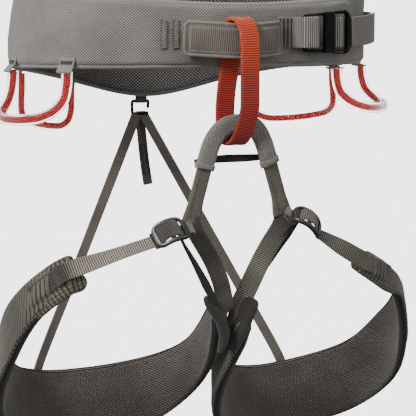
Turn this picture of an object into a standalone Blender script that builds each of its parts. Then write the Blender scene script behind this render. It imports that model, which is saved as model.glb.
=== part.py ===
"""Climbing harness: a padded waist belt, tie-in points, belay loop, gear loops and leg loops.

Lengths below are millimetres and are written to the scene in metres. The wearer faces -Y, the
wearer's left is +X and +Z is up. The origin is the middle of the waist opening, halfway up the
front of the belt. Angles round the waist and thighs start at the front.
"""
import math

import bmesh
import bpy
from mathutils import Matrix, Vector

MM = 0.001
GAP = 0.4

# Waist belt: half width, half depth and squareness of its outer face, seen from above.
WAIST_HALF_WIDTH = 150.0
WAIST_HALF_DEPTH = 100.0
WAIST_SQUARENESS = 2.4
PAD_THICKNESS = 10.0
BELT_OUTER_END = 56.0
BELT_INNER_END = -322.0
FRONT_TOP = 22.0
BACK_RISE = 26.0
FRONT_BOTTOM = -23.0
BACK_DROP = 31.0
BACK_DROP_SPREAD = 49.5
OVERLAP_INSET = 12.5
BINDING = 2.5
BELT_COLUMNS = 54

# Layers of the pads, from the outside in.
SHELL = 1.2
BELT_WEB = 1.6
LINER = 1.2

# Tie-in bar and belay loop.
BAR_SLEEVE_HEIGHT = 27.0
BAR_SLEEVE_DEPTH = 7.0
SLEEVE_WALL = 0.9
BAR_PATH = [
    (-48, -102.8, -2), (-40, -107, -2.5), (-26, -112, -3.5), (-9, -113.8, -4.5), (8, -112.5, -4),
    (23, -107.5, -3), (31, -103.2, -2),
]
BELAY_WIDTH = 16.0
BELAY_THICKNESS = 3.4
BELAY_SKEW = -0.38
BELAY_DRIFT = -1.4
BELAY_MIDDLE = (-8.0, -113.5)
BELAY_PATH = [
    (-114, 12), (-120, 8.5), (-123, 0), (-124, -10), (-124, -26), (-124, -42), (-124, -56), (-121, -70),
    (-116, -79.4), (-110.5, -82.0), (-105, -78.8), (-101, -68), (-99.6, -53), (-101.2, -38),
    (-104.2, -22), (-104.8, -4), (-107, 8.5),
]

# Bridge between the leg loops: centre line from the wearer's right to left.
BRIDGE_PATH = [
    (-43.5, -106, -137), (-41, -107, -125), (-37.5, -108, -111), (-34, -109.5, -96), (-29.3, -110.5, -81),
    (-20, -111, -70.2), (-7, -111.5, -67), (5, -111.5, -69.8), (13, -110.5, -80), (18.5, -109.5, -94),
    (24.5, -107, -110), (29.3, -104.8, -124), (32.3, -103.2, -135),
]
BRIDGE_SLEEVE = (0.22, 0.78)
BRIDGE_SLEEVE_WIDTH = 15.0
BRIDGE_SLEEVE_DEPTH = 7.0
BRIDGE_WEB_WIDTH = 11.6
BRIDGE_WEB_THICKNESS = 3.6
CROSS_STRAP_HEIGHT = -94.5
CROSS_STRAP_WIDTH = 6.0
CROSS_STRAP_THICKNESS = 1.6

# Gear loops: wearer's side and place, angles of the front and rear ends, drop and outward reach.
GEAR_LOOPS = {
    "right_front": (-64.0, -90.0, 36.5, 26.0),
    "right_rear": (-119.0, -143.0, 38.5, 6.0),
    "left_front": (45.5, 83.0, 32.6, 27.0),
    "left_rear": (101.0, 132.0, 42.5, 24.0),
}
# Half of a loop's outline as shares of its chord, drop and reach, from the front end down.
GEAR_OUTLINE = [
    (0.0, 0.0, 0.0), (0.0, 0.3, 0.03), (0.0, 0.6, 0.16), (0.04, 0.82, 0.46), (0.15, 0.95, 0.78),
    (0.32, 0.99, 0.96), (0.5, 1.0, 1.0),
]
GEAR_CORE_RADIUS = 2.7
GEAR_SHEATH_RADIUS = 4.4
GEAR_SHEATH_WALL = 1.3
GEAR_POINTS = 19
TAB_LENGTH = 12.0
TAB_WIDTH = 13.0
TAB_THICKNESS = 2.0
TAB_BELOW_EDGE = 1.0
TAB_HINGE_ABOVE = 1.5

# Leg loops. Each row is an angle from the front towards the outside, a radius, the top and the
# bottom of the pad there.
THIGH_BACK_SHIFT = -52.0
THIGH_CENTRE = 88.0
THIGH_FLARE = {"right": 0.10, "left": 0.18}
LEG_PAD = 8.0
LEG_EDGES = {
    "right": [
        (45, 83, -160, -187), (66, 88, -180, -217), (88, 91, -208, -264), (115, 90, -254, -307),
        (150, 86, -275, -335), (185, 84, -279, -343), (220, 84, -270, -328), (250, 85, -250, -298),
        (275, 85.5, -218, -263), (294, 85.5, -202, -225),
    ],
    "left": [
        (4, 74, -167, -188), (30, 72.5, -183, -205), (54, 74, -200, -218), (76, 77, -217, -256),
        (100, 80, -238, -300), (135, 82, -274, -337), (180, 84, -291, -352), (220, 84, -283, -340),
        (250, 84, -266, -308), (275, 84, -234, -272), (293, 84, -214, -240),
    ],
}
SIDES = {"right": -1.0, "left": 1.0}

# Leg straps, risers and leg buckles.
LEG_STRAP_WIDTH = 14.0
INNER_STRAP_WIDTH = 15.0
INNER_STRAP_LEAD = 4.0
STRAP_THICKNESS = 1.4
RISER_WIDTH = 9.0
LEG_JUNCTION = {"right": (-46.0, -107.0, -142.0), "left": (35.0, -107.0, -140.0)}
LEG_BUCKLE = {"right": (-69.0, -122.5, -146.0), "left": (49.5, -118.0, -144.0)}
LEG_BUCKLE_ROLL = {"right": 45.0, "left": 58.0}
LEG_BUCKLE_LENGTH = 27.0
LEG_BUCKLE_WIDTH = 21.0
BUCKLE_RAIL = 2.6
BUCKLE_PLATE = 2.4
LEG_STRAP_END = {"right": 59.0, "left": 22.0}
STRAP_OFF_PAD = 2.1
RISER_ANGLE = {"right": 156.0, "left": 172.0}

# Waist buckle, which lies flat over the curve of the belt.
BUCKLE_ANGLE = 39.5
BUCKLE_OUT = 5.8
BUCKLE_LENGTH = 48.0
BUCKLE_HEIGHT = 36.0
BUCKLE_WINDOW = 27.0
BUCKLE_Z = 1.5
SLIDER_WIDTH = 11.5
WAIST_WEB_WIDTH = 24.0
# Angle, distance off the belt and rise of the waist strap and of its free tail.
STRAP_LEAD = [(61, 4.0, 1.0), (70, 4.2, 3.0), (82, 3.6, 4.0), (95, 2.4, 4.0), (106, 1.6, 4.0)]
TAIL_LEAD = [(59, 6.4, 1.0), (66, 6.8, 2.5), (73, 6.6, 4.0)]

# Origins of the hinges and slides.
BELAY_HINGE = (-8.0, -112.5, -4.0)
BRIDGE_HINGE = (-5.0, -106.0, -139.0)
HOOK_HINGE = (-3.0, 104.2, -71.6)
LEG_HINGE = {"right": (-46.0, -107.0, -142.0), "left": (35.0, -107.0, -140.0)}
BUCKLE_HINGE = -25.7
LEG_BUCKLE_HINGE = 11.6

# Rear hook and haul loop at the middle of the back.
BACK_X = -3.0
HOOK_Y = 104.2
HOOK_RADIUS = 1.3
HOOK_OUTLINE = [
    (7.5, -67.5), (7.5, -62), (6.5, -61), (-6.5, -61), (-7.5, -62), (-7.5, -71), (-6.5, -72), (7.5, -71.5),
]


def clear_scene():
    for obj in list(bpy.data.objects):
        bpy.data.objects.remove(obj, do_unlink=True)


def finish(name, colour, roughness, metallic=0.0):
    material = bpy.data.materials.new(name)
    material.use_nodes = True
    shader = material.node_tree.nodes["Principled BSDF"]
    shader.inputs["Base Color"].default_value = (*colour, 1.0)
    shader.inputs["Roughness"].default_value = roughness
    shader.inputs["Metallic"].default_value = metallic
    return material


def power(value, exponent):
    return math.copysign(abs(value) ** exponent, value)


def smoothstep(low, high, value):
    t = min(1.0, max(0.0, (value - low) / (high - low)))
    return t * t * (3.0 - 2.0 * t)


def smooth_path(points, closed=False):
    """A function of 0..1 that runs smoothly through the points (Catmull-Rom)."""
    knots = [Vector(point) for point in points]
    count = len(knots) if closed else len(knots) - 1

    def knot(index):
        if closed:
            return knots[index % len(knots)]
        if index < 0:
            return knots[0] * 2.0 - knots[1]
        if index >= len(knots):
            return knots[-1] * 2.0 - knots[-2]
        return knots[index]

    def path(u):
        place = min(max(u, 0.0), 1.0) * count
        index = min(int(place), count - 1)
        t = place - index
        before, start, end, after = (knot(index + step) for step in (-1, 0, 1, 2))
        return 0.5 * (
            2.0 * start
            + (end - before) * t
            + (2.0 * before - 5.0 * start + 4.0 * end - after) * t ** 2
            + (3.0 * start - before - 3.0 * end + after) * t ** 3
        )

    return path


def link(obj, material):
    bpy.data.collections["climbing_harness"].objects.link(obj)
    obj.data.materials.append(material)
    return obj


def solidify(obj, thickness, offset=0.0):
    modifier = obj.modifiers.new("thickness", "SOLIDIFY")
    modifier.thickness = thickness * MM
    modifier.offset = offset
    modifier.use_even_offset = True
    return obj


def sheet(name, place, columns, rows, thickness, material, joined=False, offset=0.0):
    """A grid bent by place(u, v) and thickened. joined welds edges that meet."""
    grid = bmesh.new()
    bmesh.ops.create_grid(grid, x_segments=columns, y_segments=rows, size=0.5)
    for vert in grid.verts:
        vert.co = Vector(place(vert.co.x + 0.5, vert.co.y + 0.5)) * MM
    if joined:
        bmesh.ops.remove_doubles(grid, verts=grid.verts, dist=0.01 * MM)
        bmesh.ops.recalc_face_normals(grid, faces=grid.faces)
    mesh = bpy.data.meshes.new(name)
    grid.to_mesh(mesh)
    grid.free()
    obj = link(bpy.data.objects.new(name, mesh), material)
    mesh.shade_smooth()
    mesh.set_sharp_from_angle(angle=math.radians(40))
    return solidify(obj, thickness, offset)


def direction(path, u):
    step = 0.002
    return (path(min(u + step, 1.0)) - path(max(u - step, 0.0))).normalized()


def across_at(path, u, across):
    """The strap's width direction: square to its run and as close as it can be to across."""
    run = direction(path, u)
    wanted = across(u) if callable(across) else Vector(across)
    return (wanted - run * wanted.dot(run)).normalized()


def strap(name, path, width, thickness, across, material, columns=20, joined=False):
    """Flat webbing along path. across is the direction of its width."""

    def place(u, v):
        return path(u) + across_at(path, u, across) * (v - 0.5) * width

    return sheet(name, place, columns, 1, thickness, material, joined)


def sleeve(name, path, width, depth, wall, across, material, columns=12, sides=10):
    """A flat hollow sleeve round a strap, open at both ends."""

    def place(u, v):
        wide = across_at(path, u, across)
        deep = wide.cross(direction(path, u))
        turn = 2.0 * math.pi * (v % 1.0)
        reach = wide * 0.5 * width * power(math.cos(turn), 0.5)
        return path(u) + reach + deep * 0.5 * depth * power(math.sin(turn), 0.6)

    return sheet(name, place, columns, sides, wall, material, joined=True, offset=-1.0)


def rod(name, path, radius, material, points=18, wall=None):
    """A round bar along path, or an open tube when wall is given."""
    curve = bpy.data.curves.new(name, "CURVE")
    curve.dimensions = "3D"
    curve.bevel_depth = radius * MM
    curve.bevel_resolution = 2
    curve.use_fill_caps = wall is None
    spline = curve.splines.new("POLY")
    spline.points.add(points - 1)
    for index, point in enumerate(spline.points):
        point.co = (*(path(index / (points - 1)) * MM), 1.0)
    spline.use_smooth = True
    obj = link(bpy.data.objects.new(name, curve), material)
    if wall:
        solidify(obj, wall, -1.0)
    return obj


# ---------------------------------------------------------------- waist belt


def waist_point(angle, inset=0.0):
    """A point on the belt's outer face, moved inwards by inset."""
    turn = math.radians(angle)
    x, y = math.sin(turn), -math.cos(turn)
    n = WAIST_SQUARENESS
    size = (abs(x / WAIST_HALF_WIDTH) ** n + abs(y / WAIST_HALF_DEPTH) ** n) ** (-1.0 / n)
    x, y = x * size, y * size
    normal = waist_normal(angle)
    return Vector((x, y)) - normal * inset


def waist_normal(angle):
    turn = math.radians(angle)
    x, y = math.sin(turn), -math.cos(turn)
    slope = WAIST_SQUARENESS - 1.0
    across = power(x / WAIST_HALF_WIDTH, slope) / WAIST_HALF_WIDTH
    along = power(y / WAIST_HALF_DEPTH, slope) / WAIST_HALF_DEPTH
    return Vector((across, along)).normalized()


def belt_edges(angle):
    """Bottom and top of the pad at an angle, with the corners of its two ends drawn in."""
    turned = (angle + 180.0) % 360.0 - 180.0
    from_back = 180.0 - abs(turned)
    if angle > BELT_OUTER_END:
        angle -= 360.0
    top = FRONT_TOP + BACK_RISE * math.sin(math.radians(turned) / 2.0) ** 2
    bottom = FRONT_BOTTOM - BACK_DROP * math.exp(-(from_back / BACK_DROP_SPREAD) ** 2)
    end = min(BELT_OUTER_END - angle, angle - BELT_INNER_END)
    corner = 7.0 * (1.0 - smoothstep(0.0, 6.0, end)) ** 2
    return bottom + corner, top - corner


def overlap(angle):
    """How far the wearer's left end is tucked in under the front panel."""
    return OVERLAP_INSET * (1.0 - smoothstep(-304.5, -280.0, angle))


def belt_place(depth, low=0.0, high=0.0, start=BELT_OUTER_END, end=BELT_INNER_END):
    """Places a belt layer at a depth; low and high are margins inside the pad's edges."""

    def place(u, v):
        angle = start + (end - start) * u
        bottom, top = belt_edges(angle)
        spot = waist_point(angle, depth + overlap(angle))
        return Vector((spot.x, spot.y, bottom + low + (top - high - bottom - low) * v))

    return place


def belt_binding(name, edge, material):
    """Tape bound over the pad's top or bottom edge."""
    outwards = 1.0 if edge else -1.0

    def place(u, v):
        angle = BELT_OUTER_END - 5.0 + (BELT_INNER_END - BELT_OUTER_END + 10.0) * u
        spot = waist_point(angle, PAD_THICKNESS / 2.0 + overlap(angle))
        height = belt_edges(angle)[edge] + outwards * (GAP + BINDING * v)
        return Vector((spot.x, spot.y, height))

    return sheet(name, place, BELT_COLUMNS, 1, PAD_THICKNESS, material)


def make_belt(looks):
    sheet("belt_shell", belt_place(SHELL / 2.0), BELT_COLUMNS, 2, SHELL, looks["belt_face"])
    web_depth = SHELL + GAP + BELT_WEB / 2.0
    sheet("belt_webbing", belt_place(web_depth, 10.0, 8.0), BELT_COLUMNS, 1, BELT_WEB, looks["webbing"])
    foam_out = SHELL + BELT_WEB + 2.0 * GAP
    foam_in = PAD_THICKNESS - LINER - GAP
    foam_middle = (foam_out + foam_in) / 2.0
    sheet("belt_foam", belt_place(foam_middle), BELT_COLUMNS, 2, foam_in - foam_out, looks["foam"])
    liner_depth = PAD_THICKNESS - LINER / 2.0
    sheet("belt_liner", belt_place(liner_depth), BELT_COLUMNS, 2, LINER, looks["lining"])
    belt_binding("belt_binding_bottom", 0, looks["binding"])
    belt_binding("belt_binding_top", 1, looks["binding"])


def on_belt(angle, out, height):
    """A point outside the belt's face by out."""
    spot = waist_point(angle, -out)
    return Vector((spot.x, spot.y, height))


def make_tie_in_bar(looks):
    path = smooth_path(BAR_PATH)
    depth = BAR_SLEEVE_DEPTH
    sleeve("tie_in_sleeve", path, BAR_SLEEVE_HEIGHT, depth, SLEEVE_WALL, (0, 0, 1), looks["sleeve"])
    strap("tie_in_webbing", path, 20.0, 3.0, (0, 0, 1), looks["webbing"], columns=16)


def make_belay_loop(looks):
    middle_x, middle_y = BELAY_MIDDLE
    points = [
        (middle_x + BELAY_SKEW * (y - middle_y) + BELAY_DRIFT * (1.0 - smoothstep(-82.0, -46.0, z)), y, z)
        for y, z in BELAY_PATH
    ]
    path = smooth_path(points, closed=True)
    width, thickness = BELAY_WIDTH, BELAY_THICKNESS
    strap("belay_loop", path, width, thickness, (1, 0, 0), looks["belay"], columns=32, joined=True)


def make_bridge(looks):
    path = smooth_path(BRIDGE_PATH)
    start, end = BRIDGE_SLEEVE

    def covered(u):
        return path(start + (end - start) * u)

    def face(u):
        return direction(path, u).cross(Vector((0, 1, 0)))

    def covered_face(u):
        return direction(covered, u).cross(Vector((0, 1, 0)))

    web = looks["webbing"]
    strap("bridge_webbing", path, BRIDGE_WEB_WIDTH, BRIDGE_WEB_THICKNESS, face, web, columns=36)
    sleeve(
        "bridge_sleeve", covered, BRIDGE_SLEEVE_WIDTH, BRIDGE_SLEEVE_DEPTH, SLEEVE_WALL,
        covered_face, looks["sleeve"], columns=18,
    )
    cross_y = BRIDGE_PATH[2][1] + BRIDGE_SLEEVE_DEPTH / 2.0 + CROSS_STRAP_THICKNESS / 2.0 + GAP
    z = CROSS_STRAP_HEIGHT
    cross = smooth_path([(-40, cross_y, z - 1), (-20, cross_y, z), (5, cross_y, z), (24, cross_y, z)])
    up = (0, 0, 1)
    strap("bridge_cross_strap", cross, CROSS_STRAP_WIDTH, CROSS_STRAP_THICKNESS, up, looks["black"], columns=8)


# ---------------------------------------------------------------- gear loops


def tab_middle(angle):
    """Middle of the lower edge of a gear loop's tab."""
    edge = belt_edges(angle)[0] - BINDING - GAP
    return on_belt(angle, GAP + TAB_THICKNESS / 2.0, edge - TAB_BELOW_EDGE)


def gear_hinge(name):
    """The two ends of the line a gear loop swings about, at the top of its tabs' inner faces."""
    front, rear, _drop, _reach = GEAR_LOOPS[name]
    above = Vector((0, 0, TAB_LENGTH + TAB_HINGE_ABOVE))
    return tab_middle(front) + above, tab_middle(rear) + above


def make_gear_loop(name, ends, looks):
    front, rear, drop, reach = ends
    for place, angle in (("front", front), ("rear", rear)):
        foot = tab_middle(angle)
        normal = waist_normal(angle)
        along = Vector((-normal.y, normal.x, 0.0))
        path = smooth_path([foot + Vector((0, 0, TAB_LENGTH)), foot])
        strap(f"gear_tab_{name}_{place}", path, TAB_WIDTH, TAB_THICKNESS, along, looks["tab"], columns=2)
    below = Vector((0, 0, GAP))
    start, end = tab_middle(front) - below, tab_middle(rear) - below
    chord = end - start
    outward = Vector((chord.y, -chord.x, 0.0)).normalized()
    if outward.dot(Vector((start.x, start.y, 0.0))) < 0.0:
        outward.negate()
    outline = GEAR_OUTLINE + [(1.0 - s, d, r) for s, d, r in reversed(GEAR_OUTLINE[:-1])]
    hang = Vector((0, 0, -drop))
    path = smooth_path([start + chord * s + hang * d + outward * reach * r for s, d, r in outline])
    rod(f"gear_core_{name}", path, GEAR_CORE_RADIUS, looks["gear_core"], GEAR_POINTS)
    rod(f"gear_sheath_{name}", path, GEAR_SHEATH_RADIUS, looks["gear_sheath"], GEAR_POINTS, GEAR_SHEATH_WALL)


# ---------------------------------------------------------------- leg loops


def thigh_point(side, angle, radius, height, top, inset=0.0):
    """A point on a leg loop's outer face. angle runs from the front towards the outside."""
    turn = math.radians(angle)
    flare = THIGH_FLARE[side] * max(0.0, math.sin(turn))
    reach = radius + flare * (top - height) - inset
    x = SIDES[side] * (THIGH_CENTRE + reach * math.sin(turn))
    return Vector((x, THIGH_BACK_SHIFT - reach * math.cos(turn), height))


def leg_run(side):
    """Angle, radius, top and bottom of a leg pad along its length, 0..1."""
    rows = LEG_EDGES[side]
    near = smooth_path([row[:3] for row in rows])
    last = smooth_path([(row[3], 0, 0) for row in rows])

    def run(u):
        angle, radius, top = near(u)
        return angle, radius, top, last(u)[0]

    return run


def pad_at(side, angle):
    """Radius, top and bottom of a leg pad at an angle."""
    run = leg_run(side)
    low, high = 0.0, 1.0
    for _ in range(30):
        middle = (low + high) / 2.0
        if run(middle)[0] < angle:
            low = middle
        else:
            high = middle
    return run(low)[1:]


def make_leg_pads(side, looks):
    run = leg_run(side)

    def layer(name, outer, inner, material, columns, rows):
        def place(u, v):
            angle, radius, top, bottom = run(u)
            end = min(u, 1.0 - u)
            corner = 6.0 * (1.0 - smoothstep(0.0, 0.04, end)) ** 2
            height = bottom + corner + (top - bottom - 2.0 * corner) * v
            return thigh_point(side, angle, radius, height, top, (outer + inner) / 2.0)

        sheet(name, place, columns, rows, inner - outer, material)

    foam_out, foam_in = SHELL + GAP, LEG_PAD - LINER - GAP
    layer(f"leg_shell_{side}", 0.0, SHELL, looks["leg_face"], 36, 2)
    layer(f"leg_foam_{side}", foam_out, foam_in, looks["foam"], 36, 2)
    layer(f"leg_liner_{side}", LEG_PAD - LINER, LEG_PAD, looks["leg_lining"], 36, 2)


def outside_pad(side, angle, share, out):
    """A point outside a leg pad; share is how far up the pad it is."""
    radius, top, bottom = pad_at(side, angle)
    height = bottom + (top - bottom) * share
    return thigh_point(side, angle, radius, height, top, -out)


def buckle_axes(side):
    """Run towards the junction, width and outward direction of a leg buckle, rolled about its run."""
    pad_end = outside_pad(side, LEG_EDGES[side][0][0], 0.55, STRAP_OFF_PAD)
    run = (Vector(LEG_BUCKLE[side]) - pad_end).normalized()
    wide = Vector((0, 0, 1))
    wide = (wide - run * run.dot(wide)).normalized()
    out = run.cross(wide)
    out = out if out.y < 0.0 else -out
    roll = math.radians(LEG_BUCKLE_ROLL[side])
    rolled = wide * math.cos(roll) - out * math.sin(roll)
    return run, rolled, out * math.cos(roll) + wide * math.sin(roll)


def ladder_plate(name, length, width, openings, thickness, material, corner):
    """A flat buckle frame with rounded corners; openings are (middle, length, width)."""
    curve = bpy.data.curves.new(name, "CURVE")
    curve.dimensions = "2D"
    curve.fill_mode = "BOTH"
    curve.extrude = thickness / 2.0 * MM
    outlines = [(0.0, length, width, corner)]
    outlines += [(middle, span, tall, 1.2) for middle, span, tall in openings]
    for middle, span, tall, radius in outlines:
        add_rounded_outline(curve, middle, span, tall, radius)
    return link(bpy.data.objects.new(name, curve), material)


def add_rounded_outline(curve, middle, span, tall, radius, steps=4):
    corners = []
    for quarter, (x, y) in enumerate(((1, 1), (-1, 1), (-1, -1), (1, -1))):
        centre = Vector((middle + x * (span / 2.0 - radius), y * (tall / 2.0 - radius)))
        for step in range(steps + 1):
            turn = math.pi / 2.0 * (quarter + step / steps)
            corners.append(centre + Vector((math.cos(turn), math.sin(turn))) * radius)
    spline = curve.splines.new("POLY")
    spline.points.add(len(corners) - 1)
    for point, corner in zip(spline.points, corners):
        point.co = (corner.x * MM, corner.y * MM, 0.0, 1.0)
    spline.use_cyclic_u = True


def stand(obj, middle, wide, out):
    """Turn a piece's Y to wide and Z to out, and put it at middle."""
    turn = Matrix((wide.cross(out), wide, out)).transposed().to_4x4()
    obj.matrix_world = Matrix.Translation(Vector(middle) * MM) @ turn


def make_leg_straps(side, looks):
    run, wide, out = buckle_axes(side)
    middle = Vector(LEG_BUCKLE[side])
    frame = ladder_plate(
        f"leg_buckle_{side}", LEG_BUCKLE_LENGTH, LEG_BUCKLE_WIDTH,
        [(-5.6, 8.4, LEG_STRAP_WIDTH + 1.6), (5.6, 8.4, LEG_STRAP_WIDTH + 1.6)],
        BUCKLE_PLATE, looks["alloy"], 5.0,
    )
    stand(frame, middle, wide, out)
    behind = BUCKLE_PLATE / 2.0 + GAP + STRAP_THICKNESS / 2.0
    half = LEG_BUCKLE_LENGTH / 2.0

    def near(along, off):
        return middle + run * along + out * off

    first = LEG_EDGES[side][0][0]
    last = LEG_STRAP_END[side]
    upright = Vector((0, 0, 1))
    shares = (1.0, 0.66, 0.33, 0.0)
    on_pad = [outside_pad(side, first + (last - first) * s, 0.55, STRAP_OFF_PAD) for s in shares]
    tip = near(-half - 2.4, -behind)
    lead = [on_pad[-1].lerp(tip, share) for share in (0.33, 0.66)]
    web = looks["strap_web"]
    path = smooth_path(on_pad + lead + [tip])

    def turned(u):
        share = smoothstep(0.5, 0.97, u)
        return upright * (1.0 - share) + wide * share

    strap(f"leg_strap_{side}", path, LEG_STRAP_WIDTH, STRAP_THICKNESS, turned, web, columns=24)
    thread = smooth_path([
        near(-half - 1.4, -behind), near(-11.4, -behind - 0.2), near(-9.6, -behind), near(-6.5, -0.6),
        near(-4.2, 1.0), near(-2.2, behind), near(1.2, behind + 0.1),
    ])
    strap(f"leg_strap_thread_{side}", thread, LEG_STRAP_WIDTH, STRAP_THICKNESS, wide, web, columns=14)
    end = Vector(LEG_JUNCTION[side]) + Vector((3.5 * SIDES[side], -5.5, -3.0))
    hold = smooth_path([
        near(3.9, -0.8), near(5.8, -2.0), near(8.4, -behind - 0.5), near(11.6, -behind - 0.5),
        near(half + 1.8, -behind - 0.7), near(half + 4.5, -behind - 3.0), end,
    ])

    strap(f"leg_buckle_webbing_{side}", hold, 9.0, STRAP_THICKNESS, wide, looks["webbing"], columns=18)


def make_inner_strap(side, looks):
    """Webbing from the junction down to the outer face of the pad's inner end."""
    sign = SIDES[side]
    last = LEG_EDGES[side][-1][0]
    on_pad = [outside_pad(side, last - INNER_STRAP_LEAD * step, 0.55, 1.8) for step in (-0.5, 1.0, 2.5)]
    top = Vector(LEG_JUNCTION[side]) + Vector((0, 1.0, -7.0))
    path = smooth_path([top, top.lerp(on_pad[0], 0.35), top.lerp(on_pad[0], 0.72)] + on_pad)
    facing = direction(path, 0.3).cross(Vector((0.25 * sign, -1.0, 0.1))).normalized()
    level = Vector((0.0, 0.0, math.copysign(1.0, facing.z)))

    def across(u):
        share = smoothstep(0.3, 0.62, u)
        return facing * (1.0 - share) + level * share

    web = looks["webbing"]
    strap(f"leg_inner_strap_{side}", path, INNER_STRAP_WIDTH, STRAP_THICKNESS, across, web, columns=18)


def make_riser(side, looks):
    angle = RISER_ANGLE[side]
    sign = SIDES[side]
    top = Vector((BACK_X + 3.6 * sign, HOOK_Y + 0.4 + 1.2 * sign, -76.5))
    edge = outside_pad(side, angle, 1.06, 2.8)
    face = outside_pad(side, angle, 0.8, 2.3)
    foot = outside_pad(side, angle, 0.55, 2.3)
    path = smooth_path([top, top.lerp(edge, 0.33), top.lerp(edge, 0.66), edge, face, foot])
    turn = math.radians(angle)
    round_pad = Vector((-math.cos(turn), -sign * math.sin(turn), 0.0))

    def across(u):
        share = smoothstep(0.1, 0.6, u)
        return Vector((1.0, 0.0, 0.0)) * (1.0 - share) + round_pad * share

    strap(f"riser_{side}", path, RISER_WIDTH, STRAP_THICKNESS, across, looks["riser"], columns=20)


def make_back_pieces(looks):
    back = WAIST_HALF_DEPTH
    up = (0, 0, 1)
    x = BACK_X
    tab = smooth_path([(x, back + 1.5, -32), (x, back + 1.5, -65)])
    side = (1, 0, 0)
    strap("rear_hook_tab", tab, 11.0, 1.6, side, looks["tab"], columns=3)
    hook = smooth_path([(x + px, HOOK_Y, pz) for px, pz in HOOK_OUTLINE])
    rod("rear_hook", hook, HOOK_RADIUS, looks["black_alloy"], points=24)
    tail_y = HOOK_Y + 4.2
    tail = smooth_path([
        (x + 1.5, tail_y, -74), (x + 3.5, tail_y, -95), (x + 5.5, tail_y - 0.5, -115), (x + 8.5, tail_y - 1, -136),
    ])
    strap("riser_tail", tail, RISER_WIDTH, STRAP_THICKNESS, side, looks["riser"], columns=8)
    haul = smooth_path([
        (0, back + 1.6, 17), (0, back + 2.3, 10), (0, back + 8.5, 4.5), (0, back + 10.5, 0),
        (0, back + 10.5, -5), (0, back + 10.5, -11), (0, back + 10.5, -16), (0, back + 8.5, -20.5),
        (0, back + 2.3, -25.5), (0, back + 1.6, -30.5),
    ])
    strap("haul_loop", haul, 16.0, 2.0, side, looks["tab"], columns=27)


# ---------------------------------------------------------------- waist buckle


def waist_buckle_axes():
    normal = waist_normal(BUCKLE_ANGLE)
    out = Vector((normal.x, normal.y, 0.0))
    run = Vector((-normal.y, normal.x, 0.0))
    return run, Vector((0, 0, 1)), out


def make_waist_buckle(looks):
    run, wide, out = waist_buckle_axes()
    middle = on_belt(BUCKLE_ANGLE, BUCKLE_OUT, BUCKLE_Z)
    window = BUCKLE_WINDOW
    frame = ladder_plate(
        "waist_buckle_frame", BUCKLE_LENGTH, BUCKLE_HEIGHT, [(-10.0, 17.0, window), (10.5, 17.0, window)],
        BUCKLE_PLATE, looks["black_alloy"], 6.0,
    )
    stand(frame, middle, wide, out)
    slider = ladder_plate(
        "waist_buckle_slider", SLIDER_WIDTH, BUCKLE_HEIGHT - 3.0, [], BUCKLE_PLATE, looks["black_alloy"], 2.5,
    )
    stand(slider, middle - run * 2.0 + out * (BUCKLE_PLATE + GAP), wide, out)

    def near(along, off):
        return middle + run * along + out * off

    height = BUCKLE_Z
    over = BUCKLE_PLATE / 2.0 + GAP + STRAP_THICKNESS / 2.0 + 0.1
    half = BUCKLE_LENGTH / 2.0
    web = looks["waist_web"]
    sewn = smooth_path([
        on_belt(22.5, 1.2, height), on_belt(24.5, 1.2, height), on_belt(26, 1.4, height), near(-half - 2.6, -0.4),
    ])
    strap("buckle_webbing", sewn, WAIST_WEB_WIDTH, STRAP_THICKNESS, wide, web, columns=9)
    fold = smooth_path([
        near(-half - 1.4, 0.7), near(-half + 0.3, over + 0.2), near(-half + 5, over + 0.4), near(-half + 10, over),
        near(-half + 14, 0.6), near(-half + 17, -1.4),
    ])
    strap("buckle_webbing_fold", fold, WAIST_WEB_WIDTH, STRAP_THICKNESS, wide, web, columns=18)
    thread = smooth_path([
        near(2.6, -over - 0.3), near(5.5, -0.6), near(9, 0.6), near(13, 0.2), near(17, -over), near(half, -over),
        near(half + 2.5, -over),
    ])
    strap("waist_strap_thread", thread, WAIST_WEB_WIDTH, STRAP_THICKNESS, wide, web, columns=20)
    start = near(half + 3.8, -over)
    led = [start] + [on_belt(angle, off, height + rise) for angle, off, rise in STRAP_LEAD]
    strap("waist_strap", smooth_path(led), WAIST_WEB_WIDTH, STRAP_THICKNESS, wide, web, columns=24)
    free = [near(half + 1.5, 0.6)] + [on_belt(angle, off, height + rise) for angle, off, rise in TAIL_LEAD]
    strap("waist_strap_tail", smooth_path(free), WAIST_WEB_WIDTH, STRAP_THICKNESS, wide, web, columns=14)


def make_looks():
    return {
        "belt_face": finish("belt_face", (0.32, 0.29, 0.26), 0.85),
        "webbing": finish("webbing", (0.10, 0.095, 0.08), 0.8),
        "waist_web": finish("waist_web", (0.22, 0.20, 0.18), 0.75),
        "strap_web": finish("strap_web", (0.38, 0.33, 0.28), 0.75),
        "riser": finish("riser", (0.12, 0.105, 0.09), 0.85),
        "black": finish("black", (0.02, 0.02, 0.02), 0.7),
        "foam": finish("foam", (0.05, 0.05, 0.05), 0.95),
        "lining": finish("lining", (0.09, 0.08, 0.075), 0.9),
        "binding": finish("binding", (0.25, 0.23, 0.21), 0.8),
        "sleeve": finish("sleeve", (0.20, 0.18, 0.15), 0.8),
        "belay": finish("belay", (0.62, 0.07, 0.025), 0.7),
        "tab": finish("tab", (0.18, 0.165, 0.15), 0.8),
        "gear_core": finish("gear_core", (0.55, 0.05, 0.03), 0.4),
        "gear_sheath": finish("gear_sheath", (0.8, 0.75, 0.72), 0.15),
        "leg_face": finish("leg_face", (0.12, 0.11, 0.08), 0.85),
        "leg_lining": finish("leg_lining", (0.07, 0.06, 0.05), 0.9),
        "alloy": finish("alloy", (0.24, 0.24, 0.23), 0.35, 1.0),
        "black_alloy": finish("black_alloy", (0.015, 0.017, 0.02), 0.35, 1.0),
    }


# ---------------------------------------------------------------- moving pieces


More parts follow.
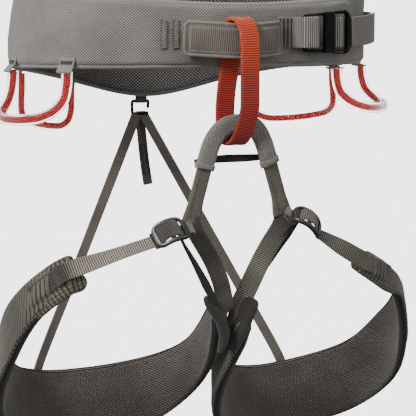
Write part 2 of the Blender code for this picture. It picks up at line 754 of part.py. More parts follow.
def moving_bodies():
    """For each moving body: a point on its hinge or slide, its pieces and the body it hangs on."""
    run, _wide, _out = waist_buckle_axes()
    middle = on_belt(BUCKLE_ANGLE, BUCKLE_OUT, BUCKLE_Z)
    buckle = ["waist_buckle_frame", "buckle_webbing_fold", "waist_strap_thread", "waist_strap_tail"]
    bodies = {
        "waist_buckle": (middle + run * BUCKLE_HINGE, buckle, None),
        "waist_slider": (middle, ["waist_buckle_slider"], "waist_buckle"),
        "belay_loop": (BELAY_HINGE, ["belay_loop"], None),
        "bridge": (BRIDGE_HINGE, ["bridge_webbing", "bridge_sleeve", "bridge_cross_strap"], None),
        "rear_hook": (HOOK_HINGE, ["rear_hook", "riser_tail"], None),
    }
    for name in GEAR_LOOPS:
        start, end = gear_hinge(name)
        pieces = [f"gear_{kind}_{name}" for kind in ("core", "sheath")]
        pieces += [f"gear_tab_{name}_front", f"gear_tab_{name}_rear"]
        bodies[f"gear_loop_{name}"] = ((start + end) / 2.0, pieces, None)
    for side in SIDES:
        kinds = ("shell", "foam", "liner", "strap", "buckle_webbing", "inner_strap")
        pieces = [f"leg_{kind}_{side}" for kind in kinds] + [f"riser_{side}"]
        bodies[f"leg_{side}"] = (LEG_HINGE[side], pieces, None)
        run, _wide, _out = buckle_axes(side)
        hinge = Vector(LEG_BUCKLE[side]) + run * LEG_BUCKLE_HINGE
        pieces = [f"leg_buckle_{side}", f"leg_strap_thread_{side}"]
        bodies[f"leg_buckle_{side}"] = (hinge, pieces, f"leg_{side}")
    return bodies


def hang_on(empty, piece):
    piece.parent = empty
    piece.matrix_parent_inverse = empty.matrix_world.inverted()


def hang_moving_pieces():
    """Parents the pieces of each moving body to an empty that stands on its hinge or slide."""
    empties = {}
    for body, (hinge, pieces, parent) in moving_bodies().items():
        empty = bpy.data.objects.new(f"{body}_axis", None)
        empty.empty_display_size = 0.01
        empty.location = Vector(hinge) * MM
        bpy.data.collections["climbing_harness"].objects.link(empty)
        bpy.context.view_layer.update()
        empties[body] = empty
        for name in pieces:
            hang_on(empty, bpy.data.objects[name])
        if parent:
            hang_on(empty=empties[parent], piece=empty)
            bpy.context.view_layer.update()


def build():
    clear_scene()
    collection = bpy.data.collections.new("climbing_harness")
    bpy.context.scene.collection.children.link(collection)
    looks = make_looks()
    make_belt(looks)
    make_tie_in_bar(looks)
    make_belay_loop(looks)
    make_bridge(looks)
    for name, ends in GEAR_LOOPS.items():
        make_gear_loop(name, ends, looks)
    for side in SIDES:
        make_leg_pads(side, looks)
        make_leg_straps(side, looks)
        make_inner_strap(side, looks)
        make_riser(side, looks)
    make_waist_buckle(looks)
    make_back_pieces(looks)
    hang_moving_pieces()


build()
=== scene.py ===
"""Climbing harness: detailed webbing, pads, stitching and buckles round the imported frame.

Lengths are millimetres and are written to the scene in metres. The wearer faces -Y, the wearer's
left is +X and +Z is up. Angles round the waist and thighs start at the front.
"""
import math

import bmesh
import bpy
import numpy as np
from mathutils import Matrix, Vector


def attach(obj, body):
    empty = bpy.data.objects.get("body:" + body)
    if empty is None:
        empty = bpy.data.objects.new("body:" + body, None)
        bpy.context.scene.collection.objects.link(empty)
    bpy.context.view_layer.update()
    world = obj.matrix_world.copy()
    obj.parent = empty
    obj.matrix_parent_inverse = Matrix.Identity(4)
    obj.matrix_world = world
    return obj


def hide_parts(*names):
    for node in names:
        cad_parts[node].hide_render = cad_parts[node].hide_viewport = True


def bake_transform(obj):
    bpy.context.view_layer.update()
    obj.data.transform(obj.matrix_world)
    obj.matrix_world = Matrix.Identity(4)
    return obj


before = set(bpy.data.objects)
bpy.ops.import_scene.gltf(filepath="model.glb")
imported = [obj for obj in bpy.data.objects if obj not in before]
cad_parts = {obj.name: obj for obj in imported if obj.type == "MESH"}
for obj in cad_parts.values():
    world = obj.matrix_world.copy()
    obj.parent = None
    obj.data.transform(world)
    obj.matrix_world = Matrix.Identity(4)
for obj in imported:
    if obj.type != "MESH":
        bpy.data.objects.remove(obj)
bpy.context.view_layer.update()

MM = 0.001
SLOPE_STEP = 0.002  # share of a path each side of a point, for its direction

# ---------------------------------------------------------------- shape of the object

# The belt: an outline between an ellipse and a rectangle, with a pad between two end angles.
WAIST_HALF_WIDTH = 150.0
WAIST_HALF_DEPTH = 100.0
WAIST_SQUARENESS = 2.4
PAD = 10.0
BELT_ENDS = (56.0, -322.0)
BELT_BINDING = 2.9

# The tie-in bar, the belay loop's side view (y, z) and the bridge.
BAR_PATH = [
    (-49, -101.8, -2), (-40, -107, -2.5), (-26, -112, -3.5), (-9, -113.8, -4.5), (8, -112.5, -4),
    (23, -107.5, -3), (32, -102.2, -2),
]
BELAY_WIDTH = 16.0
BELAY_THICKNESS = 3.4
BELAY_SKEW = -0.38  # sideways for each millimetre forwards
BELAY_DRIFT = -2.0  # sideways at its lower end
BELAY_MIDDLE = (-8.0, -113.5)
BELAY_PATH = [
    (-114, 12), (-120, 8.5), (-123, 0), (-124, -10), (-124, -26), (-124, -42), (-124, -56),
    (-121, -70),
    (-116, -79.4), (-110.5, -82.0), (-105, -78.8), (-101, -68), (-99.6, -53), (-101.2, -38),
    (-104.2, -22), (-104.8, -4), (-107, 8.5),
]
BRIDGE_PATH = [
    (-45, -106, -143), (-41, -107, -125), (-37.5, -108, -111), (-34, -109.5, -96),
    (-29.3, -110.5, -81), (-20, -111, -70.2), (-7, -111.5, -67), (5, -111.5, -69.8),
    (13, -110.5, -80), (18.5, -109.5, -94),
    (24.5, -107, -110), (29.5, -105.2, -124), (33.8, -104.4, -140),
]
# Gear loops: the two tabs' angles, the drop and the reach outwards. Then half of a loop's outline:
# share along, share of the drop and share of the reach.
GEAR_LOOPS = {
    "right_front": (-64.0, -90.0, 36.5, 26.0),
    "right_rear": (-119.0, -143.0, 38.5, 6.0),
    "left_front": (45.5, 83.0, 32.6, 27.0),
    "left_rear": (101.0, 132.0, 42.5, 24.0),
}
GEAR_OUTLINE = [
    (0.0, 0.0, 0.0), (0.0, 0.3, 0.03), (0.0, 0.6, 0.16), (0.04, 0.82, 0.46), (0.15, 0.95, 0.78),
    (0.32, 0.99, 0.96), (0.5, 1.0, 1.0),
]
# Leg pads: the thigh openings' middles, and for each pad angle, radius, top and bottom.
THIGH_BACK_SHIFT = -52.0
THIGH_CENTRE = 88.0
THIGH_FLARE = {"right": 0.10, "left": 0.18}
LEG_PAD = 8.0
LEG_EDGES = {
    "right": [
        (45, 83, -160, -187), (66, 88, -180, -217), (88, 91, -208, -264), (115, 90, -254, -307),
        (150, 86, -275, -335), (185, 84, -279, -343), (220, 84, -270, -328), (250, 85, -250, -298),
        (275, 85.5, -218, -263), (294, 85.5, -202, -225),
    ],
    "left": [
        (4, 74, -167, -188), (30, 72.5, -183, -205), (54, 74, -200, -218), (76, 77, -217, -256),
        (100, 80, -238, -300), (135, 82, -274, -337), (180, 84, -291, -352), (220, 84, -283, -340),
        (250, 84, -266, -308), (275, 84, -234, -272), (293, 84, -214, -240),
    ],
}
SIDES = {"right": -1.0, "left": 1.0}
LEG_JUNCTION = {"right": (-46.0, -107.0, -142.0), "left": (35.0, -107.0, -140.0)}
LEG_BUCKLE = {"right": (-69.0, -122.5, -146.0), "left": (49.5, -118.0, -144.0)}
LEG_BUCKLE_ROLL = {"right": 45.0, "left": 58.0}
LEG_STRAP_END = {"right": 59.0, "left": 22.0}
RISER_ANGLE = {"right": 156.0, "left": 172.0}
# The waist buckle. Its strap and free tail are led by angle, distance off the belt and rise.
BUCKLE_ANGLE = 39.5
BUCKLE_OUT = 5.8
BUCKLE_Z = 1.5
STRAP_LEAD = [(61, 4.0, 1.0), (70, 4.2, 3.0), (82, 3.6, 4.0), (95, 2.4, 4.0), (106, 1.6, 4.0)]
TAIL_LEAD = [(59, 6.4, 1.0), (66, 6.8, 2.5), (73, 6.6, 4.0)]
# The rear hook. Its bar and prong are (x, z), measured from BACK_X.
BACK_X = -3.0
HOOK_Y = 104.2
HOOK_OUTLINE = [
    (7.5, -67.5), (7.5, -62), (6.5, -61), (-6.5, -61), (-7.5, -62), (-7.5, -71), (-6.5, -72),
    (7.5, -71.5),
]
HOOK_PRONG = [(-7.5, -69.0), (-7.4, -73.0), (-7.0, -77.0), (-6.4, -81.0)]
# The rear tab and the haul loop: distance off the belt and height.
REAR_TAB_ROUTE = [(1.2, -32), (1.5, -50), (1.9, -60), (3.2, -62.6)]
HAUL_ROUTE = [
    (1.2, 17), (2.3, 10), (8.5, 4.5), (10.5, 0), (10.5, -5), (10.5, -11), (10.5, -16), (8.5, -20.5),
    (2.3, -25.5), (1.2, -30.5),
]
BUCKLE_PLATE = 2.4
BEHIND = BUCKLE_PLATE / 2.0 + 0.4 + 0.7  # from a buckle's middle to the strap behind it
WAIST_WEB = 24.0  # width
WEB = 1.5  # thickness
SIDE_BAND_ANGLE = -297.5
WAIST_BUCKLE_OUTLINES = [
    ([(-27.0, -15.0), (23.8, -18.0), (23.8, 18.2), (-27.0, 13.8)], (3.5, 7, 7, 3.5)),
    ([(-22.5, -12.8), (-1.6, -13.8), (-1.6, 14.2), (-22.5, 12.2)], (1.5,) * 4),
    ([(2.2, -14.0), (19.2, -14.2), (19.2, 14.4), (2.2, 14.2)], (1.5, 3.5, 3.5, 1.5)),
]
COVER_WIDTH = 27.0
BRIDGE_COVER = (0.22, 0.78)  # shares of the bridge's length
CROSS_STRAP_PLACE = (-103.3, -94.5)  # y, z
# Gear tabs: rise and distance off the belt. The left ones are tucked under the belt's edge.
FLARED_TAB = [(10.0, -1.0), (7.5, -0.6), (4.6, 0.8), (1.8, 3.2), (-0.6, 4.9)]
TUCKED_TAB = [(0.2, -6.0), (-0.1, -3.6), (-0.2, -1.0), (-0.2, 2.6)]
# Leg buckles: the strap's way through and the buckle's own webbing, as (along, off) the buckle.
LEG_ALLOY = {"right": "alloy", "left": "dark_alloy"}
LEG_STRAP_LOOK = {"right": "strap_web", "left": "strap_dark"}
LEG_STRAP_TURN = {"right": (0.3, 0.72), "left": (0.5, 0.95)}  # where it turns, share of length
LEG_STRAP_TAPER = {"right": 0.2, "left": 0.05}
LEG_STRAP_ROUTE = [
    (-14.6, -BEHIND - 2.1), (-11.6, -BEHIND - 1.8), (-9.8, -1.6), (-7.6, 1.4), (-4.6, 3.6),
    (-1.6, 4.6), (1.6, 4.6), (4.4, 3.6), (7.0, 1.0), (8.8, -1.6),
]
LEG_HOLD_ROUTE = [
    (3.9, 0.6), (5.8, -0.8), (8.4, -BEHIND - 1.6), (11.6, -BEHIND - 2.2), (15.4, -BEHIND - 1.4),
    (18.0, -BEHIND - 2.4),
]
LEG_HOLD_SEWN = [(4.4, -6.0, -3.4), (1.6, -5.6, -4.6)]  # from the junction
POCKET_FABRIC = 0.7  # thickness
INNER_STRAP = {
    "left": [
        (35.0, -106.4, -137.0), (33.2, -105.4, -146.6), (29.0, -104.0, -155.0),
        (23.4, -101.5, -165.0), (17.0, -97.0, -180.0), (11.8, -91.5, -195.8), (5.6, -87.8, -211.0),
        (2.2, -84.4, -222.0), (0.4, -79.6, -231.0),
    ],
    "right": [
        (-45.5, -106.4, -139.0), (-41.6, -106.0, -149.0), (-34.5, -105.0, -160.0),
        (-25.5, -102.5, -174.0), (-17.5, -98.5, -189.0), (-11.5, -93.0, -203.0),
        (-8.6, -88.8, -212.0), (-6.2, -85.0, -219.0), (-4.0, -79.0, -226.0),
    ],
}
INNER_STRAP_WIDTH = {"left": 15.5, "right": 13.5}
INNER_STRAP_LEAN = {"left": -0.3, "right": -0.5}
DARK_RIBBON = {
    "right": [
        (-62.5, -118.6, -142.0), (-61.0, -118.0, -146.0), (-55.1, -115.2, -156.6),
        (-43.5, -110.4, -173.7), (-29.0, -103.6, -196.0), (-19.2, -97.8, -210.5),
        (-12.0, -92.5, -221.0),
    ],
    "left": [
        (44.0, -110.2, -144.0), (39.6, -107.4, -152.0), (33.6, -103.4, -162.5),
        (27.0, -98.4, -175.5), (20.5, -93.4, -190.0),
    ],
}
# Shares of the ribbon's length, and of its width there.
DARK_RIBBON_TAPER = {
    "right": ([0, 0.15, 0.6, 0.85, 1], [0.45, 0.3, 1.0, 0.8, 0.4]),
    "left": ([0, 0.3, 0.7, 1], [0.7, 1.0, 0.75, 0.25]),
}
# A pad's rolled inner end: path, width and depth.
PAD_CAP = {
    "right": ([
        (-28.5, -97.0, -201.5), (-26.3, -97.0, -205.6), (-19.6, -95.0, -214.3),
        (-13.2, -92.0, -224.0), (-8.4, -87.0, -236.5), (-8.8, -80.0, -250.8),
    ], 10.5, 7.6),
    "left": ([
        (13.0, -93.4, -206.5), (11.4, -92.8, -212.0), (9.0, -91.0, -219.0), (6.4, -87.5, -229.0),
        (3.4, -82.0, -240.0), (1.6, -75.0, -250.0),
    ], 14.0, 8.0),
}
# Rolls at a pad's front end: (angle, share of height, off) on the pad, reaches past it along the
# strap, then width, depth and corner radius.
FRONT_LOBES = {
    "right": [
        ([(66.0, 0.26, -2.8), (55.0, 0.2, -2.8), (45.0, 0.12, -2.6)], (7.0, 15.0), 14.5, 6.6, 6.8),
        ([(60.0, 0.8, -2.8), (52.0, 0.82, -2.8), (45.0, 0.76, -2.4)], (5.0,), 11.0, 5.6, 5.0),
    ],
    "left": [
        ([(40.0, 0.16, -2.2), (22.0, 0.14, -1.8), (4.0, 0.22, -1.6)], (5.0, 9.0), 9.0, 5.6, 4.4),
    ],
}


def vec(*values):
    return np.array(values, float)


def unit(values):
    values = np.asarray(values, float)
    return values / np.maximum(np.linalg.norm(values, axis=-1, keepdims=True), 1e-9)


def smoothstep(low, high, value):
    t = np.clip((np.asarray(value, float) - low) / (high - low), 0.0, 1.0)
    return t * t * (3.0 - 2.0 * t)


def run_length(line):
    """Distance along a line of points, from its first point."""
    return np.concatenate([[0.0], np.cumsum(np.linalg.norm(np.diff(line, axis=0), axis=1))])


def spline(points, closed=False):
    """A function of 0..1 that runs smoothly through the points (Catmull-Rom)."""
    knots = np.array(points, float)
    if closed:
        count, line = len(knots), np.vstack([knots[-1:], knots, knots[:2]])
    else:
        ends = 2 * knots[0] - knots[1], 2 * knots[-1] - knots[-2]
        count, line = len(knots) - 1, np.vstack([ends[0], knots, ends[1]])

    def path(u):
        place = np.clip(np.asarray(u, float), 0.0, 1.0) * count
        index = np.minimum(place.astype(int), count - 1)
        t = (place - index)[..., None]
        before, start, end, after = (line[index + step] for step in range(4))
        bend = (2.0 * before - 5.0 * start + 4.0 * end - after) * t ** 2
        twist = (3.0 * start - before - 3.0 * end + after) * t ** 3
        return 0.5 * (2.0 * start + (end - before) * t + bend + twist)

    return path


def waist_normal(angle):
    turn = np.radians(angle)
    x, y = np.sin(turn), -np.cos(turn)
    slope = WAIST_SQUARENESS - 1.0
    across = np.sign(x) * np.abs(x / WAIST_HALF_WIDTH) ** slope / WAIST_HALF_WIDTH
    along = np.sign(y) * np.abs(y / WAIST_HALF_DEPTH) ** slope / WAIST_HALF_DEPTH
    return unit(np.stack([across, along, 0.0 * across], -1))


def waist_point(angle, inset, height):
    """A point on the belt's outer face at a height, moved inwards by inset."""
    turn = np.radians(angle)
    x, y = np.sin(turn), -np.cos(turn)
    n = WAIST_SQUARENESS
    size = (np.abs(x / WAIST_HALF_WIDTH) ** n + np.abs(y / WAIST_HALF_DEPTH) ** n) ** (-1.0 / n)
    spot = np.stack([x * size, y * size, 0.0 * x], -1)
    spot = spot - waist_normal(angle) * np.asarray(inset)[..., None]
    spot[..., 2] = height
    return spot


def belt_edges(angle):
    """Bottom and top of the pad at an angle, with the corners of its two ends drawn in."""
    angle = np.asarray(angle, float)
    turned = (angle + 180.0) % 360.0 - 180.0
    along = np.where(angle > BELT_ENDS[0], angle - 360.0, angle)
    top = 22.0 + 26.0 * np.sin(np.radians(turned) / 2.0) ** 2
    bottom = -23.0 - 31.0 * np.exp(-((180.0 - np.abs(turned)) / 49.5) ** 2)
    end = np.minimum(BELT_ENDS[0] - along, along - BELT_ENDS[1])
    corner = 7.0 * (1.0 - smoothstep(0.0, 6.0, end)) ** 2
    return bottom + corner, top - corner


def overlap(angle):
    """How far the wearer's left end is tucked in under the front panel."""
    return 12.5 * (1.0 - smoothstep(-304.5, -280.0, angle))


def on_belt(angle, out, height):
    return waist_point(float(angle), -float(out), float(height))


def pad_rows(side, angles, samples=400):
    """Radius, top and bottom of a leg pad at one angle or more."""
    rows = spline(LEG_EDGES[side])(np.linspace(0.0, 1.0, samples))
    return [np.interp(angles, rows[:, 0], rows[:, k]) for k in (1, 2, 3)]


def thigh_point(side, angle, radius, height, top, inset=0.0):
    turn = np.radians(angle)
    flare = THIGH_FLARE[side] * np.maximum(0.0, np.sin(turn))
    reach = radius + flare * (top - height) - inset
    x = SIDES[side] * (THIGH_CENTRE + reach * np.sin(turn))
    return np.stack([x, THIGH_BACK_SHIFT - reach * np.cos(turn), height + 0.0 * x], -1)


def outside_pad(side, angle, share, out):
    radius, top, bottom = pad_rows(side, angle)
    return thigh_point(side, angle, radius, bottom + (top - bottom) * share, top, -out)


def buckle_axes(side):
    pad_end = outside_pad(side, LEG_EDGES[side][0][0], 0.55, 2.1)
    run = unit(vec(*LEG_BUCKLE[side]) - pad_end)
    wide = unit(vec(0, 0, 1) - run * run[2])
    out = np.cross(run, wide)
    out = out if out[1] < 0.0 else -out
    roll = math.radians(LEG_BUCKLE_ROLL[side])
    level, rise = math.cos(roll), math.sin(roll)
    return run, wide * level - out * rise, out * level + wide * rise


def waist_buckle_axes():
    out = waist_normal(np.array(BUCKLE_ANGLE))
    return vec(-out[1], out[0], 0.0), vec(0, 0, 1), out


# ---------------------------------------------------------------- meshes


def mesh_object(name, verts, faces, cloth, material, smooth=True):
    """A mesh from millimetre points. cloth holds each face corner's place on the fabric."""
    mesh = bpy.data.meshes.new(name)
    faces = [list(map(int, face)) for face in faces]
    mesh.from_pydata((np.asarray(verts) * MM).tolist(), [], faces)
    mesh.update()
    if smooth:
        mesh.shade_smooth()
    if cloth is not None:
        layer = mesh.attributes.new("cloth", "FLOAT_VECTOR", "CORNER")
        layer.data.foreach_set("vector", np.asarray(cloth, np.float32).ravel())
    obj = bpy.data.objects.new(name, mesh)
    bpy.context.scene.collection.objects.link(obj)
    mesh.materials.append(material)
    return obj


def grid_faces(points, cloth, around, along):
    """Quads of a grid of points (n, m). around joins the last row of m, along the last row of n."""
    n, m = points.shape[:2]
    rows, columns = np.arange(n if along else n - 1), np.arange(m if around else m - 1)
    i, j = (index.ravel() for index in np.meshgrid(rows, columns, indexing="ij"))
    ring = ((i, j), (i + 1, j), (i + 1, j + 1), (i, j + 1))
    faces = np.stack([(a % n) * m + b % m for a, b in ring], -1)
    corners = np.stack([cloth[a, b] for a, b in ring], 1)
    return faces, corners.reshape(-1, 3)


def tube_mesh(name, points, cloth, material, closed, sharp=None):
    """A closed body from rings of points (n, m, 3).

    cloth is (n, m + 1, 3), with one more row if the rings join up into a loop.
    """
    faces, corners = grid_faces(points, cloth, True, closed)
    faces = faces.tolist()
    corners = list(corners)
    n, m = points.shape[:2]
    if not closed:
        for ring, row in ((range(m), 0), (range(m - 1, -1, -1), n - 1)):
            faces.append([row * m + k for k in ring])
            corners += [cloth[row, k] for k in ring]
    obj = mesh_object(name, points.reshape(-1, 3), faces, np.array(corners), material)
    if sharp:
        obj.data.set_sharp_from_angle(angle=math.radians(sharp))
    return outward(obj)


def outward(obj):
    """Turns a closed mesh the right way out."""
    shape = bmesh.new()
    shape.from_mesh(obj.data)
    if shape.calc_volume(signed=True) < 0.0:
        bmesh.ops.reverse_faces(shape, faces=shape.faces)
        shape.to_mesh(obj.data)
    shape.free()
    return obj


class Ribbon:
    """Even steps along a path, with its run, width and thickness directions."""

    def __init__(self, path, across, step=1.0, closed=False, trim=(0.0, 1.0)):
        u = np.linspace(trim[0], trim[1], 1200)
        line = path(u)
        length = run_length(line)
        self.length = length[-1]
        self.closed = closed
        count = max(4, int(round(self.length / step)) + 1)
        self.s = np.linspace(0.0, self.length, count + int(closed))[:count]
        self.u = np.interp(self.s, length, u)
        self.p = path(self.u)

        def beside(step):
            return path((self.u + step) % 1.0 if closed else np.clip(self.u + step, 0.0, 1.0))

        self.run = unit(beside(SLOPE_STEP) - beside(-SLOPE_STEP))
        if not callable(across):
            across = np.broadcast_to(np.array(across, float), self.p.shape)
        wanted = across(self.u) if callable(across) else across
        self.wide = unit(wanted - self.run * np.sum(wanted * self.run, -1, keepdims=True))
        self.thick = np.cross(self.wide, self.run)

    def place(self, w, t):
        """Points of every ring, each w across and t off the middle."""
        across, off = self.wide[:, None] * w[..., None], self.thick[:, None] * t[..., None]
        return self.p[:, None] + across + off

    def at(self, share, w, t):
        """A point at a share of the length, w across and t off the middle."""
        s = np.asarray(share, float) * self.length
        w, t = np.broadcast_to(w, s.shape), np.broadcast_to(t, s.shape)

        def mixed(values):
            return np.stack([np.interp(s, self.s, values[:, k]) for k in range(3)], -1)

        return mixed(self.p) + mixed(self.wide) * w[..., None] + mixed(self.thick) * t[..., None]

    def normal(self, s, sign):
        """The direction out of one face at a length."""
        return np.stack([np.interp(s, self.s, self.thick[:, k]) for k in range(3)], -1) * sign

    def front(self):
        """1 or -1, whichever makes the thickness direction point forwards at the middle."""
        return -1.0 if self.thick[len(self.s) // 2][1] > 0 else 1.0


def flat_section(width, thickness, inner=7, edge=5):
    """Points round flat webbing with rounded edges."""
    a, b = width / 2.0, thickness / 2.0
    turn = np.linspace(-math.pi / 2, math.pi / 2, edge)
    right = np.stack([a - b + b * np.cos(turn), b * np.sin(turn)], -1)
    across = np.linspace(a - b, -(a - b), inner + 2)[1:-1]
    top = np.stack([across, np.full(inner, b)], -1)
    return np.vstack([right, top, -right, -top])


def cloth_rows(along, across):
    """Each ring's place along the fabric and each point's place across it."""
    cloth = np.zeros((len(along), len(across), 3))
    cloth[..., 0] = np.asarray(along)[:, None]
    cloth[..., 1] = np.asarray(across)[None]
    return cloth


def webbing(name, ribbon, width, thickness, material, pitch=0.0, depth=0.0, belly=0.0,
            fade=None, taper=None):
    """Woven webbing along a ribbon. Ribs stand across it, depth high and pitch apart.

    belly crowns its faces. fade scales the ribs and taper the width, from the share of the length.
    """
    section = flat_section(width, thickness)
    n, m = len(ribbon.s), len(section)
    w = np.broadcast_to(section[:, 0], (n, m)).copy()
    t = np.broadcast_to(section[:, 1], (n, m)).copy()
    face = np.abs(section[:, 1]) / (thickness / 2.0)
    if taper is not None:
        w *= taper(ribbon.s / ribbon.length)[:, None]
    if pitch:
        wave = np.cos(2.0 * math.pi * ribbon.s / rib_pitch(ribbon, pitch))[:, None]
        if fade is not None:
            wave = 1.0 - (1.0 - wave) * fade(ribbon.s / ribbon.length)[:, None]
        t += np.sign(t) * face * depth * 0.5 * (wave - 1.0)
        w += np.sign(w) * (1.0 - face) * 0.35 * depth * wave
    if belly:
        t += belly * (1.0 - (2.0 * section[:, 0] / width) ** 2)
    if not ribbon.closed:
        ends = np.minimum(ribbon.s, ribbon.length - ribbon.s)[:, None]
        t = t * (0.55 + 0.45 * smoothstep(0.0, 0.8, ends))
    points = ribbon.place(w, t)
    rows = np.append(ribbon.s, ribbon.length) if ribbon.closed else ribbon.s
    scale = pitch / rib_pitch(ribbon, pitch) if pitch else 1.0
    cloth = cloth_rows(rows * scale, np.append(section[:, 0], section[0, 0]))
    return tube_mesh(name, points, cloth, material, ribbon.closed)


def rib_pitch(ribbon, pitch):
    """The pitch nearest to the one wanted that fits a whole number of times."""
    return ribbon.length / max(1, round(ribbon.length / pitch))


def round_bar(name, path, radius, material, sides=14, step=1.0, closed=False, hollow=0.0):
    """A round rod or, with a wall thickness, a hollow tube, along a path."""
    ribbon = Ribbon(path, rotation_free(path), step, closed)
    turn = np.arange(sides) / sides * 2.0 * math.pi
    surfaces = []
    for size in (radius, radius - hollow):
        w = np.broadcast_to(np.cos(turn) * size, (len(ribbon.s), sides))
        t = np.broadcast_to(np.sin(turn) * size, (len(ribbon.s), sides))
        surfaces.append(ribbon.place(w, t))
    rows = np.append(ribbon.s, ribbon.length) if closed else ribbon.s
    cloth = cloth_rows(rows, np.linspace(0.0, 2.0 * math.pi * radius, sides + 1))
    if not hollow:
        return tube_mesh(name, surfaces[0], cloth, material, closed)
    outer, corners = grid_faces(surfaces[0], cloth, True, closed)
    n, m = len(ribbon.s), sides
    inner = outer[:, ::-1] + n * m
    rims = []
    for row, flip in ((0, False), (n - 1, True)):
        for k in range(m):
            a, b = row * m + k, row * m + (k + 1) % m
            rim = [a, b, b + n * m, a + n * m]
            rims.append(rim[::-1] if flip else rim)
    faces = outer.tolist() + inner.tolist() + rims
    corners = np.vstack([corners, corners, np.zeros((4 * len(rims), 3))])
    verts = np.vstack([surfaces[0].reshape(-1, 3), surfaces[1].reshape(-1, 3)])
    return outward(mesh_object(name, verts, faces, corners, material))


def rotation_free(path):
    """A width direction for a round bar that doesn't spin along it."""
    u = np.linspace(0.0, 1.0, 400)
    line = path(u)
    run = unit(np.gradient(line, axis=0))
    seed = vec(0, 0, 1) if abs(run[0][2]) < 0.8 else vec(1, 0, 0)
    frames = [unit(seed - run[0] * run[0].dot(seed))]
    for tangent in run[1:]:
        frames.append(unit(frames[-1] - tangent * frames[-1].dot(tangent)))
    frames = np.array(frames)

    def across(at):
        return np.stack([np.interp(at, u, frames[:, k]) for k in range(3)], -1)

    return across


def thread_rings(points, radius, sides):
    """Rings round a line of points, for one thread."""
    points = np.asarray(points, float)
    run = unit(np.gradient(points, axis=0))
    seed = unit(np.cross(run, unit(points - points.mean(0) + vec(0.013, 0.007, 0.019))))
    other = np.cross(run, seed)
    turn = np.arange(sides) / sides * 2.0 * math.pi
    return points[:, None] + radius * (
        seed[:, None] * np.cos(turn)[None, :, None] + other[:, None] * np.sin(turn)[None, :, None]
    )


def threads(name, lines, radius, material, sides=5):
    """Sewing threads as one object, each a thin closed tube."""
    verts, faces = [], []
    start = 0
    for line in lines:
        rings = thread_rings(line, radius, sides)
        n, m = rings.shape[:2]
        grid, _ = grid_faces(rings, np.zeros((n, m + 1, 3)), True, False)
        own = grid.tolist() + [list(range(m - 1, -1, -1)), [(n - 1) * m + k for k in range(m)]]
        verts.append(rings.reshape(-1, 3))
        faces += [[start + k for k in face] for face in own]
        start += n * m
    corners = np.zeros((sum(len(face) for face in faces), 3))
    return outward(mesh_object(name, np.vstack(verts), faces, corners, material))


def zigzag(surface, start, end, half, pitch, lift, steps=4):
    """A zigzag seam on surface(a, b) -> (point, normal), from start to end in its own lengths."""
    start, end = np.array(start, float), np.array(end, float)
    length = np.linalg.norm(end - start)
    along = (end - start) / length
    side = np.array([-along[1], along[0]])
    count = max(2, int(length / pitch)) * 2
    lines = []
    for k in range(count):
        a = start + along * length * k / count + side * half * (-1) ** k
        b = start + along * length * (k + 1) / count - side * half * (-1) ** k
        share = np.linspace(0.0, 1.0, steps + 1)
        spots = a[None] + (b - a)[None] * share[:, None]
        place, normal = surface(spots[:, 0], spots[:, 1])
        rise = lift * (0.15 + 0.85 * np.sin(math.pi * share))
        lines.append(place + normal * rise[:, None])
    return lines


def running(surface, points, stitch, lift, gap=0.28, steps=4):
    """A straight seam of separate stitches on surface(a, b) along a line of (a, b) points."""
    points = np.array(points, float)
    length = run_length(points)
    count = max(1, int(round(length[-1] / stitch)))
    lines = []
    for k in range(count):
        marks = (k + np.linspace(gap / 2, 1.0 - gap / 2, steps + 1)) * length[-1] / count
        spots = np.stack([np.interp(marks, length, points[:, c]) for c in range(2)], -1)
        place, normal = surface(spots[:, 0], spots[:, 1])
        rise = lift * (0.1 + 0.9 * np.sin(math.pi * np.linspace(0.0, 1.0, steps + 1)))
        lines.append(place + normal * rise[:, None])
    return lines


def ribbon_surface(ribbon, off, sign=1.0):
    """surface(s, w) on one face of a ribbon."""

    def surface(s, w):
        s, w = np.asarray(s, float), np.asarray(w, float)
        return ribbon.at(s / ribbon.length, w, sign * off), ribbon.normal(s, sign)

    return surface


# ---------------------------------------------------------------- materials


